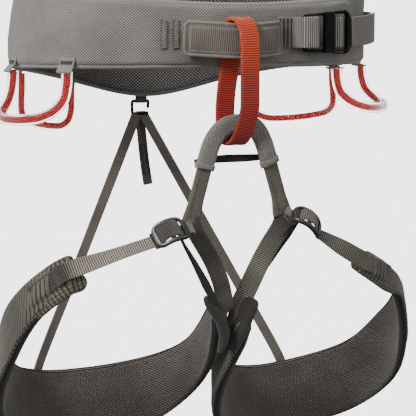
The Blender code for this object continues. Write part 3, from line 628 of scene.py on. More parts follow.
class Nodes:
    """Short names for building a material's nodes."""

    def __init__(self, name):
        self.material = bpy.data.materials.new(name)
        self.material.use_nodes = True
        self.tree = self.material.node_tree
        self.shader = self.tree.nodes["Principled BSDF"]

    def node(self, kind, **values):
        made = self.tree.nodes.new(kind)
        for key, value in values.items():
            setattr(made, key, value)
        return made

    def link(self, value, socket):
        if isinstance(value, (int, float)):
            socket.default_value = value
        elif isinstance(value, tuple):
            opaque = len(value) == 3 and socket.type == "RGBA"
            socket.default_value = (*value, 1.0) if opaque else value
        else:
            self.tree.links.new(value, socket)

    def math(self, operation, a, b=None, c=None):
        made = self.node("ShaderNodeMath", operation=operation)
        for value, socket in zip((a, b, c), made.inputs):
            if value is not None:
                self.link(value, socket)
        return made.outputs[0]

    def wave(self, value, period):
        """A cosine of 0..1 with a period."""
        turned = self.math("COSINE", self.math("MULTIPLY", value, 2.0 * math.pi / period))
        return self.math("MULTIPLY_ADD", turned, 0.5, 0.5)

    def mix(self, share, a, b, blend="MIX"):
        made = self.node("ShaderNodeMix", data_type="RGBA", blend_type=blend)
        self.link(share, made.inputs[0])
        self.link(a, made.inputs[6])
        self.link(b, made.inputs[7])
        return made.outputs[2]

    def noise(self, scale, detail=2.0, source=None):
        made = self.node("ShaderNodeTexNoise")
        made.inputs["Scale"].default_value = scale
        made.inputs["Detail"].default_value = detail
        if source is None:
            source = self.node("ShaderNodeTexCoord").outputs["Object"]
        self.tree.links.new(source, made.inputs["Vector"])
        return made.outputs["Fac"]

    def range(self, value, low, high, new_low=0.0, new_high=1.0):
        made = self.node("ShaderNodeMapRange", interpolation_type="SMOOTHSTEP")
        for item, socket in zip((value, low, high, new_low, new_high), made.inputs):
            self.link(item, socket)
        return made.outputs[0]

    def cloth(self):
        """Length along the fabric and place across it, in millimetres."""
        place = self.node("ShaderNodeAttribute", attribute_name="cloth")
        split = self.node("ShaderNodeSeparateXYZ")
        self.tree.links.new(place.outputs["Vector"], split.inputs[0])
        return split.outputs[0], split.outputs[1]

    def bump(self, height, distance, strength=1.0, under=None):
        made = self.node("ShaderNodeBump")
        made.inputs["Distance"].default_value = distance
        made.inputs["Strength"].default_value = strength
        self.link(height, made.inputs["Height"])
        if under is not None:
            self.tree.links.new(under, made.inputs["Normal"])
        return made.outputs[0]

    def done(self, colour, roughness, normal=None, metallic=0.0, sheen=0.0, **more):
        self.link(colour, self.shader.inputs["Base Color"])
        self.link(roughness, self.shader.inputs["Roughness"])
        self.shader.inputs["Metallic"].default_value = metallic
        self.shader.inputs["Sheen Weight"].default_value = sheen
        self.shader.inputs["Sheen Roughness"].default_value = 0.5
        for key, value in more.items():
            self.shader.inputs[key].default_value = value
        if normal is not None:
            self.tree.links.new(normal, self.shader.inputs["Normal"])
        return self.material


def fabric(name, light, dark, pattern, size, bump=0.0003, roughness=0.85, sheen=0.25, worn=0.18,
           fuzz=0.25, shade=None, low=None):
    """Woven cloth. pattern is ribs, diamond, dots, grid, mesh or twill; size is its pitch along
    and across, in millimetres, and bump its height in metres. worn darkens patches, fuzz lightens
    fibres, shade (from, to, amount) paints shade over a stretch of the length, and low (low, high,
    tint) paints shade on the lower part: the colour is multiplied by tint below low, fading out by
    high.
    """
    n = Nodes(name)
    s, w = n.cloth()
    along, across = size

    def slanted(operation):
        return n.wave(n.math(operation, s, n.math("MULTIPLY", w, along / across)), along)

    if pattern == "ribs":
        rib = n.range(n.wave(s, along), 0.15, 0.85)
        yarn = n.wave(n.math("ADD", w, n.math("MULTIPLY", s, 0.5)), across)
        height = n.math("MULTIPLY_ADD", yarn, 0.2, n.math("MULTIPLY", rib, 0.8))
    elif pattern == "grid":
        first = n.range(n.wave(s, along), 0.6, 0.93, 1.0, 0.0)
        second = n.range(n.wave(w, across), 0.8, 0.99, 1.0, 0.25)
        height = n.math("MULTIPLY", first, second)
    elif pattern == "twill":
        twill = n.math("MULTIPLY", slanted("ADD"), 0.8)
        height = n.math("MULTIPLY_ADD", n.wave(w, 0.9), 0.2, twill)
    else:
        levels = {"diamond": (0.02, 0.5), "dots": (0.05, 0.75), "mesh": (0.25, 0.7, 1.0, 0.0)}
        height = n.range(n.math("MULTIPLY", slanted("ADD"), slanted("SUBTRACT")), *levels[pattern])
        if pattern == "diamond":
            yarn = n.math("MULTIPLY", n.wave(s, 0.7), 0.15)
            height = n.math("MULTIPLY_ADD", height, 0.85, yarn)
    patchy = n.noise(22.0, 4.0)
    fibres = n.noise(2600.0, 2.0)
    # The colour follows the weave's height: partly the weave's own two tones, partly painted shade
    # in its low parts and grooves.
    colour = n.mix(height, dark, light)
    colour = n.mix(n.range(patchy, 0.3, 0.7, 0.0, worn), colour, (0.0, 0.0, 0.0))
    colour = n.mix(n.math("MULTIPLY", fibres, fuzz * 0.5), colour, light, "SCREEN")
    # Painted shade: the colour is multiplied by the tint towards the bottom of the piece.
    if low is not None:
        place = n.node("ShaderNodeSeparateXYZ")
        n.tree.links.new(n.node("ShaderNodeTexCoord").outputs["Object"], place.inputs[0])
        share = n.range(place.outputs[2], low[0], low[1], 1.0, 0.0)
        colour = n.mix(share, colour, low[2], "MULTIPLY")
    # Painted shade: a stretch of the length is darkened towards the dark colour.
    if shade is not None:
        colour = n.mix(n.range(s, shade[0], shade[1], shade[2], 0.0), colour, dark)
    rough = n.range(height, 0.0, 1.0, min(1.0, roughness + 0.1), roughness - 0.08)
    under = n.bump(fibres, 0.00012, 0.4)
    return n.done(colour, rough, n.bump(height, bump, 0.8, under), sheen=sheen)


def plain_thread(name, light, dark):
    n = Nodes(name)
    twist = n.noise(1800.0, 3.0)
    return n.done(n.mix(twist, dark, light), 0.75, n.bump(twist, 0.0001, 0.6), sheen=0.3)


def metal(name, light, dark, roughness):
    n = Nodes(name)
    brushed = n.noise(260.0, 5.0)
    worn = n.noise(60.0, 3.0)
    colour = n.mix(n.range(worn, 0.35, 0.7), dark, light)
    rough = n.range(brushed, 0.3, 0.7, roughness - 0.07, roughness + 0.1)
    return n.done(colour, rough, n.bump(brushed, 0.00006, 0.3), metallic=0.85)


def make_looks():
    looks = {
        "belt_face": fabric("belt_face_weave", (0.50, 0.47, 0.425), (0.085, 0.078, 0.069),
                            "diamond", (2.5, 2.1), 0.0006, worn=0.35),
        "belt_tab": fabric("belt_tab_webbing", (0.36, 0.335, 0.30), (0.16, 0.148, 0.13),
                           "ribs", (1.0, 0.8), 0.0002),
        "lining": fabric("belt_lining_mesh", (0.27, 0.252, 0.232), (0.010, 0.0095, 0.009),
                         "dots", (3.2, 2.8), 0.0006),
        "binding": fabric("belt_fold", (0.36, 0.335, 0.305), (0.19, 0.175, 0.155),
                          "ribs", (0.9, 0.9), 0.00015),
        "sleeve": fabric("sleeve_cover", (0.235, 0.20, 0.17), (0.06, 0.05, 0.042),
                         "ribs", (1.5, 0.9), 0.0004, worn=0.45),
        "sleeve_edge": fabric("sleeve_fold", (0.29, 0.25, 0.215), (0.14, 0.12, 0.10),
                              "ribs", (0.9, 0.8), 0.00012, worn=0.2),
        # The belay loop's low option paints shade on its lower part.
        "belay": fabric("belay_webbing", (0.88, 0.11, 0.018), (0.30, 0.016, 0.004),
                        "ribs", (1.75, 0.8), 0.0003, 0.5, 0.1, 0.3, 0.1,
                        low=(-0.06, 0.012, (0.62, 0.28, 0.8))),
        "webbing": fabric("olive_webbing", (0.23, 0.205, 0.16), (0.009, 0.008, 0.006),
                          "twill", (1.5, 1.8), 0.0004),
        "cover": fabric("bridge_cover", (0.62, 0.58, 0.52), (0.07, 0.063, 0.054),
                        "dots", (1.9, 1.5), 0.0004, worn=0.4),
        # shade paints shade over the first stretch of the inner strap, near the junction.
        "inner_strap": fabric("twill_strap", (0.31, 0.28, 0.225), (0.010, 0.009, 0.007),
                              "ribs", (1.7, 0.9), 0.0004, worn=0.3, shade=(8.0, 55.0, 0.72)),
        "waist_web": fabric("waist_webbing", (0.27, 0.25, 0.222), (0.085, 0.078, 0.067),
                            "ribs", (1.0, 0.8), 0.0002),
        "waist_ridge": fabric("ridged_webbing", (0.40, 0.375, 0.33), (0.06, 0.054, 0.045),
                              "ribs", (2.1, 0.8), 0.0002),
        # shade paints shade over the first 30 to 46 mm of each strap that wears this look.
        "strap_web": fabric("ribbed_strap", (0.47, 0.41, 0.34), (0.008, 0.006, 0.005),
                            "ribs", (1.8, 0.8), 0.0004, worn=0.2, shade=(30.0, 46.0, 0.85)),
        "strap_dark": fabric("dark_ribbed_strap", (0.17, 0.15, 0.118), (0.008, 0.007, 0.0055),
                             "ribs", (1.7, 0.8), 0.00035),
        "riser": fabric("elastic", (0.20, 0.172, 0.145), (0.055, 0.047, 0.04),
                        "ribs", (1.0, 1.2), 0.00012, worn=0.3),
        "black": fabric("black_ribbon", (0.012, 0.011, 0.010), (0.003, 0.003, 0.003),
                        "ribs", (0.9, 0.8), 0.0001),
        "dark_ribbon": fabric("dark_ribbon", (0.030, 0.026, 0.021), (0.006, 0.005, 0.004),
                              "ribs", (0.9, 0.8), 0.0001),
        "leg_rim_face": fabric("leg_fold", (0.060, 0.053, 0.042), (0.016, 0.014, 0.011),
                               "ribs", (1.2, 1.0), 0.0003, worn=0.4),
        "tab": fabric("tab_webbing", (0.13, 0.12, 0.105), (0.05, 0.045, 0.038),
                      "ribs", (1.2, 0.8), 0.0002),
        "leg_face": fabric("leg_ripstop", (0.17, 0.155, 0.11), (0.010, 0.0095, 0.007),
                           "grid", (3.6, 2.8), 0.0005, worn=0.5),
        "leg_rim": fabric("leg_edge", (0.030, 0.026, 0.021), (0.010, 0.009, 0.0075),
                          "ribs", (0.9, 0.9), 0.00015, sheen=0.05),
        "leg_lining": fabric("leg_mesh", (0.31, 0.262, 0.226), (0.020, 0.017, 0.0145),
                             "dots", (2.7, 2.1), 0.0006, worn=0.4),
        "thread_light": plain_thread("light_thread", (0.40, 0.36, 0.31), (0.16, 0.14, 0.12)),
        "thread_belt": plain_thread("belt_thread", (0.36, 0.335, 0.30), (0.16, 0.15, 0.13)),
        "thread_dark": plain_thread("dark_thread", (0.05, 0.043, 0.036), (0.015, 0.013, 0.011)),
        "thread_brown": plain_thread("brown_thread", (0.10, 0.07, 0.035), (0.03, 0.022, 0.012)),
        "thread_olive": plain_thread("olive_thread", (0.20, 0.18, 0.14), (0.06, 0.053, 0.04)),
        "alloy": metal("grey_anodised", (0.17, 0.17, 0.16), (0.08, 0.08, 0.076), 0.38),
        "dark_alloy": metal("dark_anodised", (0.12, 0.12, 0.115), (0.05, 0.05, 0.047), 0.34),
        "black_alloy": metal("black_anodised", (0.010, 0.011, 0.014), (0.004, 0.004, 0.0055), 0.32),
        "foam": fabric("closed_cell_foam", (0.05, 0.05, 0.05), (0.02, 0.02, 0.02),
                       "mesh", (1.2, 1.0), 0.0002),
    }
    core = Nodes("gear_core_red")
    tone = core.noise(30.0, 3.0)
    red = core.mix(tone, (0.10, 0.0035, 0.0025), (0.18, 0.008, 0.005))
    twist = core.bump(core.noise(500.0), 0.0001, 0.2)
    looks["gear_core"] = core.done(red, 0.5, twist, **{"Specular IOR Level": 0.08})
    tube = Nodes("clear_tube")
    haze = tube.noise(90.0, 3.0)
    tint = tube.mix(haze, (0.99, 0.95, 0.94), (0.96, 0.90, 0.88))
    clear = {"Transmission Weight": 1.0, "IOR": 1.17}
    looks["gear_sheath"] = tube.done(tint, 0.04, tube.bump(haze, 0.0002, 0.2), **clear)
    return looks


looks = make_looks()


def finish_piece(obj, body, slot, nodes=()):
    """Hides the CAD nodes that a piece stands for and attaches the piece to its body. slot, meant
    for its finish, is not used.
    """
    if nodes:
        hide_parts(*nodes)
    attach(obj, body)


def stitch(name, lines, radius, look, body, slot):
    """Sewing threads along lines of points, finished as one piece."""
    finish_piece(threads(name, lines, radius, looks[look]), body, slot)


# ---------------------------------------------------------------- pads


def soft_wave(a, b, seed):
    """Smooth low bumps of about -1..1 over a surface, the same each run."""
    mixed = np.random.default_rng(seed)
    total = 0.0
    for size in (38.0, 21.0, 11.0):
        angle, phase = mixed.uniform(0, math.pi), mixed.uniform(0, 6.28)
        other = mixed.uniform(0, 6.28)
        x = a * math.cos(angle) + b * math.sin(angle)
        y = -a * math.sin(angle) + b * math.cos(angle)
        swell = np.sin(2 * math.pi * x / size + phase)
        total = total + size / 38.0 * swell * np.sin(2 * math.pi * y / (size * 1.4) + other)
    return total / 1.7


def edge_round(distance, radius):
    """How far a pad's face has curved in, at a distance from its edge."""
    left = np.clip(radius - distance, 0.0, radius)
    return radius - np.sqrt(np.maximum(radius ** 2 - left ** 2, 0.0))


def two_sheets(name, sheets, cloth, material, sharp=None):
    """A closed body between two sheets of points (n, m, 3)."""
    n, m = sheets[0].shape[:2]
    count = n * m
    face, corners = grid_faces(sheets[0], cloth, False, False)
    loop = list(range(m)) + [i * m + m - 1 for i in range(1, n)]
    loop += [(n - 1) * m + k for k in range(m - 2, -1, -1)] + [i * m for i in range(n - 2, 0, -1)]
    rim = [[a, b, b + count, a + count] for a, b in zip(loop, loop[1:] + loop[:1])]
    faces = face.tolist() + (face[:, ::-1] + count).tolist() + rim
    back_corners = corners.reshape(-1, 4, 3)[:, ::-1].reshape(-1, 3)
    spots = cloth.reshape(-1, 3)
    rim_corners = [spots[k % count] for quad in rim for k in quad]
    corners = np.vstack([corners, back_corners, rim_corners])
    verts = np.vstack([sheet.reshape(-1, 3) for sheet in sheets])
    obj = mesh_object(name, verts, faces, corners, material)
    shape = bmesh.new()
    shape.from_mesh(obj.data)
    bmesh.ops.recalc_face_normals(shape, faces=shape.faces)
    shape.to_mesh(obj.data)
    shape.free()
    if sharp:
        obj.data.set_sharp_from_angle(angle=math.radians(sharp))
    return outward(obj)


def skin(name, place, columns, rows, depth, wall, outer, material, radius, relief=None):
    """One fabric face of a pad. place(u, v, depth) gives points; wall is the fabric's thickness."""
    u = np.linspace(0.0, 1.0, columns)
    v = 0.5 - 0.5 * np.cos(math.pi * np.linspace(0.0, 1.0, rows))
    uu, vv = np.meshgrid(u, v, indexing="ij")
    flat = place(uu, vv, np.full_like(uu, depth))
    tall = np.linalg.norm(flat[:, -1] - flat[:, 0], axis=-1)[:, None]
    long = run_length(flat[:, rows // 2])
    from_edge = np.minimum(vv, 1.0 - vv) * tall
    from_end = np.minimum(long, long[-1] - long)[:, None] + 0.0 * vv
    inward = 1.0 if outer else -1.0
    curve = np.maximum(edge_round(from_edge, radius), edge_round(from_end, radius * 0.9))
    bulge = 0.0 if relief is None else relief(long[:, None] + 0 * vv, (vv - 0.5) * tall)
    sheets = [place(uu, vv, depth + inward * (curve + extra) - inward * bulge)
              for extra in (0.0, wall)]
    cloth = np.stack([long[:, None] + 0.0 * vv, (vv - 0.5) * tall, 0.0 * vv], -1)
    return two_sheets(name, sheets, cloth, material, 50)


def hip_flare(angle, height):
    """The belt's top leans in over the wearer's right hip."""
    side = np.exp(-((np.asarray(angle) + 105.0) / 45.0) ** 2)
    return 0.15 * np.maximum(np.asarray(height) + 4.0, 0.0) * side


def belt_place(u, v, depth):
    angle = BELT_ENDS[0] + (BELT_ENDS[1] - BELT_ENDS[0]) * u
    bottom, top = belt_edges(angle)
    height = bottom + (top - bottom) * v
    return waist_point(angle, depth + overlap(angle) + hip_flare(angle, height), height)


def belt_relief(seed, size, dips):
    """Gentle unevenness of a belt face, pulled in where seams hold it."""

    def relief(s, w):
        height = size * soft_wave(s, w * 1.6, seed)
        for at, across, reach, tall, deep in dips:
            height = height - deep * np.exp(-((s - at) / reach) ** 2 - ((w - across) / tall) ** 2)
        return height

    return relief


def belt_length_at(angle):
    """Distance along the belt's outer face from its outer end, in millimetres."""
    angles = np.linspace(BELT_ENDS[0], angle, 300)
    line = waist_point(angles, np.zeros(300), 0.0)
    return float(np.sum(np.linalg.norm(np.diff(line, axis=0), axis=1)))


def make_belt():
    bars = [(belt_length_at(a), 0.0, 5.0, 13.0, 1.1) for a in (-35.0, -30.0, 17.5, 24.0)]
    outer = belt_relief(3, 0.35, bars)
    face_look = looks["belt_face"]
    shell = skin("belt_outer_fabric", belt_place, 420, 26, 0.0, 0.9, True, face_look, 3.6, outer)
    finish_piece(shell, "waist_belt", "belt_face", ["belt_shell"])
    inner = belt_relief(5, 0.3, [])
    mesh_look = looks["lining"]
    lining = skin("belt_mesh_lining", belt_place, 420, 26, PAD, 0.9, False, mesh_look, 3.2, inner)
    finish_piece(lining, "waist_belt", "lining", ["belt_liner"])
    foam = skin("belt_foam_core", belt_place, 200, 14, 1.6, 6.2, True, looks["foam"], 2.6)
    finish_piece(foam, "waist_belt", "foam", ["belt_foam", "belt_webbing"])
    for name, edge, outwards in (("bottom", 0, -1.0), ("top", 1, 1.0)):
        u = np.linspace(0.004, 0.996, 460)
        angle = BELT_ENDS[0] + (BELT_ENDS[1] - BELT_ENDS[0]) * u
        height = belt_edges(angle)[edge]
        spot = waist_point(angle, PAD / 2.0 + overlap(angle) + hip_flare(angle, height), height)
        inward = -waist_normal(angle)
        turn = np.linspace(0.0, 2.0 * math.pi, 15)[:-1]
        wide = 3.1 * np.sign(np.cos(turn)) * np.abs(np.cos(turn)) ** 0.8
        tall = BELT_BINDING * np.sin(turn)
        tall = np.where(tall > 0, tall * 0.9, tall * 0.75)
        rings = spot[:, None] + inward[:, None] * wide[None, :, None]
        rings = rings + vec(0, 0, 1) * (outwards * tall)[None, :, None]
        cloth = cloth_rows(np.linspace(0, 850.0, len(u)), np.linspace(0, 16.0, 15))
        fold = tube_mesh(f"belt_fold_{name}", rings, cloth, looks["binding"], False)
        finish_piece(fold, "waist_belt", "binding", [f"belt_binding_{name}"])


def belt_surface(s, w):
    """Point and normal of the belt's face.

    s is the distance from the front's middle towards the wearer's left, and w the height.
    """
    s, w = np.asarray(s, float), np.asarray(w, float)
    angles = np.linspace(-170, 55, 900)
    line = waist_point(angles, np.zeros(900), 0.0)
    length = run_length(line)
    length = length - np.interp(0.0, angles, length)
    angle = np.interp(s, length, angles)
    spot = waist_point(angle, np.full(angle.shape, -0.1), 0.0)
    spot[..., 2] = w
    return spot, waist_normal(angle)


def leg_place(side):
    run = spline(LEG_EDGES[side])

    def place(u, v, depth):
        rows = run(u)
        angle, radius, top, bottom = (rows[..., k] for k in range(4))
        end = np.minimum(u, 1.0 - u)
        corner = 6.0 * (1.0 - smoothstep(0.0, 0.04, end)) ** 2
        height = bottom + corner + (top - bottom - 2.0 * corner) * v
        return thigh_point(side, angle, radius, height, top, depth)

    return place


def make_leg_pad(side):
    body = f"leg_loop_{side}"
    place = leg_place(side)

    def relief(s, w):
        return 0.4 * soft_wave(s, w * 1.5, 11 + len(side))

    for name, depth, is_outer, look, node, radius in (
            ("outer_fabric", 0.0, True, "leg_face", "shell", 3.2),
            ("mesh_lining", LEG_PAD, False, "leg_lining", "liner", 2.8)):
        sheet = skin(f"leg_{name}_{side}", place, 260, 24, depth, 0.8, is_outer, looks[look],
                     radius, relief)
        finish_piece(sheet, body, look, [f"leg_{node}_{side}"])
    foam = skin(f"leg_foam_core_{side}", place, 120, 12, 1.4, 4.6, True, looks["foam"], 2.2)
    finish_piece(foam, body, "foam", [f"leg_foam_{side}"])
    u = np.linspace(0.0, 1.0, 240)
    rows = np.array([(share, edge) for edge in (1.0, 0.0) for share in (u if edge else u[::-1])])
    spot = place(rows[:, 0], rows[:, 1], np.full(len(rows), LEG_PAD / 2.0))
    inner = place(rows[:, 0], rows[:, 1], np.full(len(rows), LEG_PAD / 2.0 + 1.0))
    centre = place(rows[:, 0], 1.0 - rows[:, 1], np.full(len(rows), LEG_PAD / 2.0))
    wide = unit(inner - spot)
    tall = unit(spot - centre)
    turn = np.linspace(0.0, 2.0 * math.pi, 13)[:-1]
    ring = spot[:, None] + wide[:, None] * (1.9 * np.cos(turn))[None, :, None]
    ring = ring + tall[:, None] * (0.9 * np.sin(turn))[None, :, None]
    length = run_length(spot)
    cloth = cloth_rows(np.append(length, length[-1] + 10.0), np.linspace(0.0, 12.0, 13))
    edge = tube_mesh(f"leg_edge_fold_{side}", ring, cloth, looks["leg_rim"], True)
    finish_piece(edge, body, "leg_face")


# ---------------------------------------------------------------- tie-in bar, belay loop, bridge


def sleeve_section(width, depth, count=26):
    turn = np.arange(count) / count * 2.0 * math.pi
    w = width / 2.0 * np.sign(np.cos(turn)) * np.abs(np.cos(turn)) ** 0.62
    t = depth / 2.0 * np.sign(np.sin(turn)) * np.abs(np.sin(turn)) ** 0.75
    return w, t


def make_sleeve(name, ribbon, width, depth, material, end_depth=1.0, wrinkle=0.0, corner=0.0):
    """A stitched cover round a strap; depth shrinks to end_depth of itself at its two ends.

    wrinkle is the height of its unevenness, and corner the radius of its corners seen from above.
    """
    w, t = sleeve_section(width, depth)
    ends = np.minimum(ribbon.s, ribbon.length - ribbon.s)[:, None]
    size = end_depth + (1.0 - end_depth) * smoothstep(0.0, 12.0, ends)
    size = size * (0.72 + 0.28 * smoothstep(0.0, 0.9, ends))
    ww = np.broadcast_to(w, (len(ribbon.s), len(w))).copy()
    if corner:
        near_end = np.clip(corner - ends, 0.0, corner)
        ww *= 1.0 - (corner - np.sqrt(np.maximum(corner ** 2 - near_end ** 2, 0.0))) / (width / 2.0)
    tt = t[None] * size
    if wrinkle:
        tt = tt + wrinkle * soft_wave(ribbon.s[:, None] * 2.5, ww * 2.5, 17)
    points = ribbon.place(ww, tt)
    ring = run_length(np.stack([np.append(w, w[0]), np.append(t, t[0])], -1))
    return tube_mesh(name, points, cloth_rows(ribbon.s, ring), material, False)


def sleeve_face(ribbon, sign, width, rise, power, end_depth):
    """surface(s, w) on one face of a stitched cover that stands rise off its middle."""

    def surface(s, w):
        s, w = np.asarray(s, float), np.asarray(w, float)
        ends = np.minimum(s, ribbon.length - s)
        size = end_depth + (1.0 - end_depth) * smoothstep(0.0, 12.0, ends)
        reach = np.maximum(1.0 - np.abs(2.0 * w / width) ** power, 0.0)
        off = rise * size * reach ** 0.375
        return ribbon.at(s / ribbon.length, w, sign * off), ribbon.normal(s, sign)

    return surface


def make_tie_in_bar():
    ribbon = Ribbon(spline(BAR_PATH), (0, 0, 1), 0.6)
    sleeve = make_sleeve("tie_in_cover", ribbon, COVER_WIDTH, 7.0, looks["sleeve"], 0.45, 0.12, 4.0)
    finish_piece(sleeve, "waist_belt", "sleeve", ["tie_in_sleeve"])
    face = sleeve_face(ribbon, ribbon.front(), COVER_WIDTH, 3.5, 1.0 / 0.62, 0.45)
    long = ribbon.length
    lip = [(1.2, -12.2), (long - 1.2, -12.2), (long - 1.2, 12.2), (1.2, 12.2)]
    lip = rounded(lip, [3.6] * 4)
    lip = np.array(lip + lip[:1])
    around = run_length(lip)
    marks = np.linspace(0.0, around[-1], 320)
    spots = np.stack([np.interp(marks, around, lip[:, k]) for k in range(2)], -1)
    place, normal = face(spots[:, 0], spots[:, 1])
    edge = spline(place[:-1] + normal[:-1] * 0.1, closed=True)
    rolled = round_bar("tie_in_rolled_edge", edge, 1.35, looks["sleeve_edge"], 10, 0.8, closed=True)
    finish_piece(rolled, "waist_belt", "sleeve")
    seams = []
    for start, end, half in (((5, 8.6), (long - 4, 8.6), 0.85), ((5, -9.2), (long - 4, -9.2), 0.85),
                             ((5.5, -8), (5.5, 8), 0.85), ((long - 5, -8), (long - 5, 8), 0.7)):
        seams += zigzag(face, start, end, half, 2.0, 0.35)
    stitch("tie_in_stitches", seams, 0.3, "thread_light", "waist_belt", "sleeve")
    inside = Ribbon(spline(BAR_PATH), (0, 0, 1), 1.2, trim=(0.03, 0.97))
    core = webbing("tie_in_core", inside, 20.0, 2.6, looks["webbing"])
    finish_piece(core, "waist_belt", "webbing", ["tie_in_webbing"])


def make_bartacks():
    """Dense stitched bars where the inner webbing is sewn to the belt."""
    dark, light = [], []
    for x in (-62.4, -53.0):
        dark += zigzag(belt_surface, (x, -10.5), (x, 11.5), 2.9, 1.9, 0.45)
        light += zigzag(belt_surface, (x, -9.5), (x, 11), 2.1, 1.5, 0.6)
    stitch("belt_bartacks_dark", dark, 0.3, "thread_brown", "waist_belt", "belt_face")
    stitch("belt_bartacks_light", light, 0.34, "thread_belt", "waist_belt", "belt_face")


def make_belay_loop():
    mx, my = BELAY_MIDDLE
    drift = [BELAY_DRIFT * (1.0 - float(smoothstep(-82.0, -46.0, z))) for _y, z in BELAY_PATH]
    points = [(mx + BELAY_SKEW * (y - my) + step, y, z) for (y, z), step in zip(BELAY_PATH, drift)]
    ribbon = Ribbon(spline(points, closed=True), (1, 0, 0), 0.3, closed=True)
    size = BELAY_WIDTH, BELAY_THICKNESS
    loop = webbing("belay_loop_webbing", ribbon, *size, looks["belay"], 1.75, 0.24)
    finish_piece(loop, "belay_loop_body", "belay", ["belay_loop"])


def bridge_face(path):
    def across(u):
        step = 0.002
        run = unit(path(np.minimum(u + step, 1.0)) - path(np.maximum(u - step, 0.0)))
        return np.cross(run, vec(0, 1, 0))

    return across


def make_bridge():
    path = spline(BRIDGE_PATH)
    across = bridge_face(path)

    def flare(u):
        return 1.0 + 0.32 * (1.0 - smoothstep(0.0, 0.1, np.minimum(u, 1.0 - u)))

    whole = Ribbon(path, across, 0.5)
    core = webbing("bridge_core", whole, 12.6, 4.0, looks["webbing"], 1.5, 0.12, taper=flare)
    finish_piece(core, "bridge_body", "webbing", ["bridge_webbing"])
    first, last = BRIDGE_COVER
    ribbon = Ribbon(path, across, 0.5, trim=BRIDGE_COVER)
    sleeve = make_sleeve("bridge_cover", ribbon, 14.6, 7.2, looks["cover"], 0.9, 0.3)
    finish_piece(sleeve, "bridge_body", "sleeve", ["bridge_sleeve"])
    front = ribbon.front()
    face = sleeve_face(ribbon, front, 15.0, 3.7, 1.61, 0.9)
    long = ribbon.length
    seams = []
    for w in (-5.4, -3.6, 3.4):
        seams += zigzag(face, (4.5, w), (long - 4.5, w), 0.5, 1.6, 0.18)
    stitch("bridge_stitches", seams, 0.17, "thread_light", "bridge_body", "sleeve")
    for name, low, high in (("right", 0.0, 4.2), ("left", long - 4.2, long)):
        trim = [first + (last - first) * s / long for s in (low, high)]
        cuff = Ribbon(path, across, 0.5, trim=trim)
        band = make_sleeve(f"bridge_cuff_{name}", cuff, 16.2, 8.2, looks["cover"])
        finish_piece(band, "bridge_body", "sleeve")
    arms = ribbon_surface(whole, 2.05, front)
    edges = []
    for low, high in ((0.03, 0.2), (0.8, 0.97)):
        for w in (-3.9, 3.9):
            start, end = (whole.length * low, w), (whole.length * high, w)
            edges += zigzag(arms, start, end, 0.8, 1.3, 0.3)
    stitch("bridge_arm_stitches", edges, 0.22, "thread_olive", "bridge_body", "webbing")
    ends = []
    for s in (1.2, long - 1.2):
        ends += zigzag(face, (s, -5.5), (s, 5.5), 0.9, 1.2, 0.4)
    stitch("bridge_cuff_stitches", ends, 0.26, "thread_dark", "bridge_body", "sleeve")
    y, z = CROSS_STRAP_PLACE
    cross = spline([(-41, y, z - 1.5), (-20, y - 0.3, z), (5, y - 0.3, z), (25, y, z + 0.5)])

    def lens(u):
        return 0.55 + 0.45 * np.sin(math.pi * np.clip(u * 1.05, 0.0, 1.0)) ** 0.6

    ribbon = Ribbon(cross, (0, 0.25, 1), 0.5)
    strap = webbing("bridge_cross_ribbon", ribbon, 6.2, 1.6, looks["black"], 0.9, 0.1, 0.2,
                    taper=lens)
    finish_piece(strap, "bridge_body", "black", ["bridge_cross_strap"])


# ---------------------------------------------------------------- gear loops


def tab_middle(angle):
    edge = float(belt_edges(angle)[0]) - 2.9
    return on_belt(angle, 1.4, edge - 1.0)


def make_gear_loops():
    for name, (front, rear, drop, reach) in GEAR_LOOPS.items():
        body = f"gear_loop_{name}"
        start, end = tab_middle(front) - vec(0, 0, 0.4), tab_middle(rear) - vec(0, 0, 0.4)
        chord = end - start
        away = unit(vec(chord[1], -chord[0], 0.0))
        if away.dot(vec(start[0], start[1], 0.0)) < 0.0:
            away = -away
        outline = GEAR_OUTLINE + [(1.0 - s, d, r) for s, d, r in reversed(GEAR_OUTLINE[:-1])]
        points = [start + chord * s - vec(0, 0, drop * d) + away * reach * r for s, d, r in outline]
        inside = [points[0] + vec(0, 0, 0.6)] + points + [points[-1] + vec(0, 0, 0.6)]
        core = round_bar(f"gear_red_core_{name}", spline(inside), 2.7, looks["gear_core"])
        finish_piece(core, body, "gear_core", [f"gear_core_{name}"])
        look = looks["gear_sheath"]
        tube = round_bar(f"gear_clear_tube_{name}", spline(points), 4.3, look, 18, hollow=1.1)
        finish_piece(tube, body, "gear_sheath", [f"gear_sheath_{name}"])
        for place, angle in (("front", front), ("rear", rear)):
            make_gear_tab(name, place, angle, body)


def make_gear_tab(name, place, angle, body):
    foot = tab_middle(angle)
    normal = waist_normal(np.array(float(angle)))
    along = vec(-normal[1], normal[0], 0.0)
    up = vec(0, 0, 1)
    tucked = name.startswith("left")
    route = TUCKED_TAB if tucked else FLARED_TAB
    path = spline([foot + up * rise + normal * off for rise, off in route])
    ribbon = Ribbon(path, along, 0.35)
    look = looks["belt_tab"]
    tab = webbing(f"gear_webbing_tab_{name}_{place}", ribbon, 13.0, 1.7, look, 1.2, 0.14, 0.1)
    finish_piece(tab, body, "tab", [f"gear_tab_{name}_{place}"])
    sign = 1.0 if ribbon.thick[3].dot(normal) > 0 else -1.0
    face = ribbon_surface(ribbon, 0.85, sign)
    seams = []
    for s, half in ((3.6, 1.0), (5.2, 0.8)):
        seams += zigzag(face, (s, -5.0), (s, 5.0), half, 1.2, 0.5)
    stitch(f"gear_tab_stitches_{name}_{place}", seams, 0.28, "thread_brown", body, "tab")
    if tucked:
        return
    rise, off = FLARED_TAB[-1]
    lip = spline([foot + up * rise + normal * off + along * share for share in (-6.0, 0.0, 6.0)])
    lip = round_bar(f"gear_tab_lip_{name}_{place}", lip, 1.25, looks["belt_tab"], 10, 0.8)
    finish_piece(lip, body, "tab")


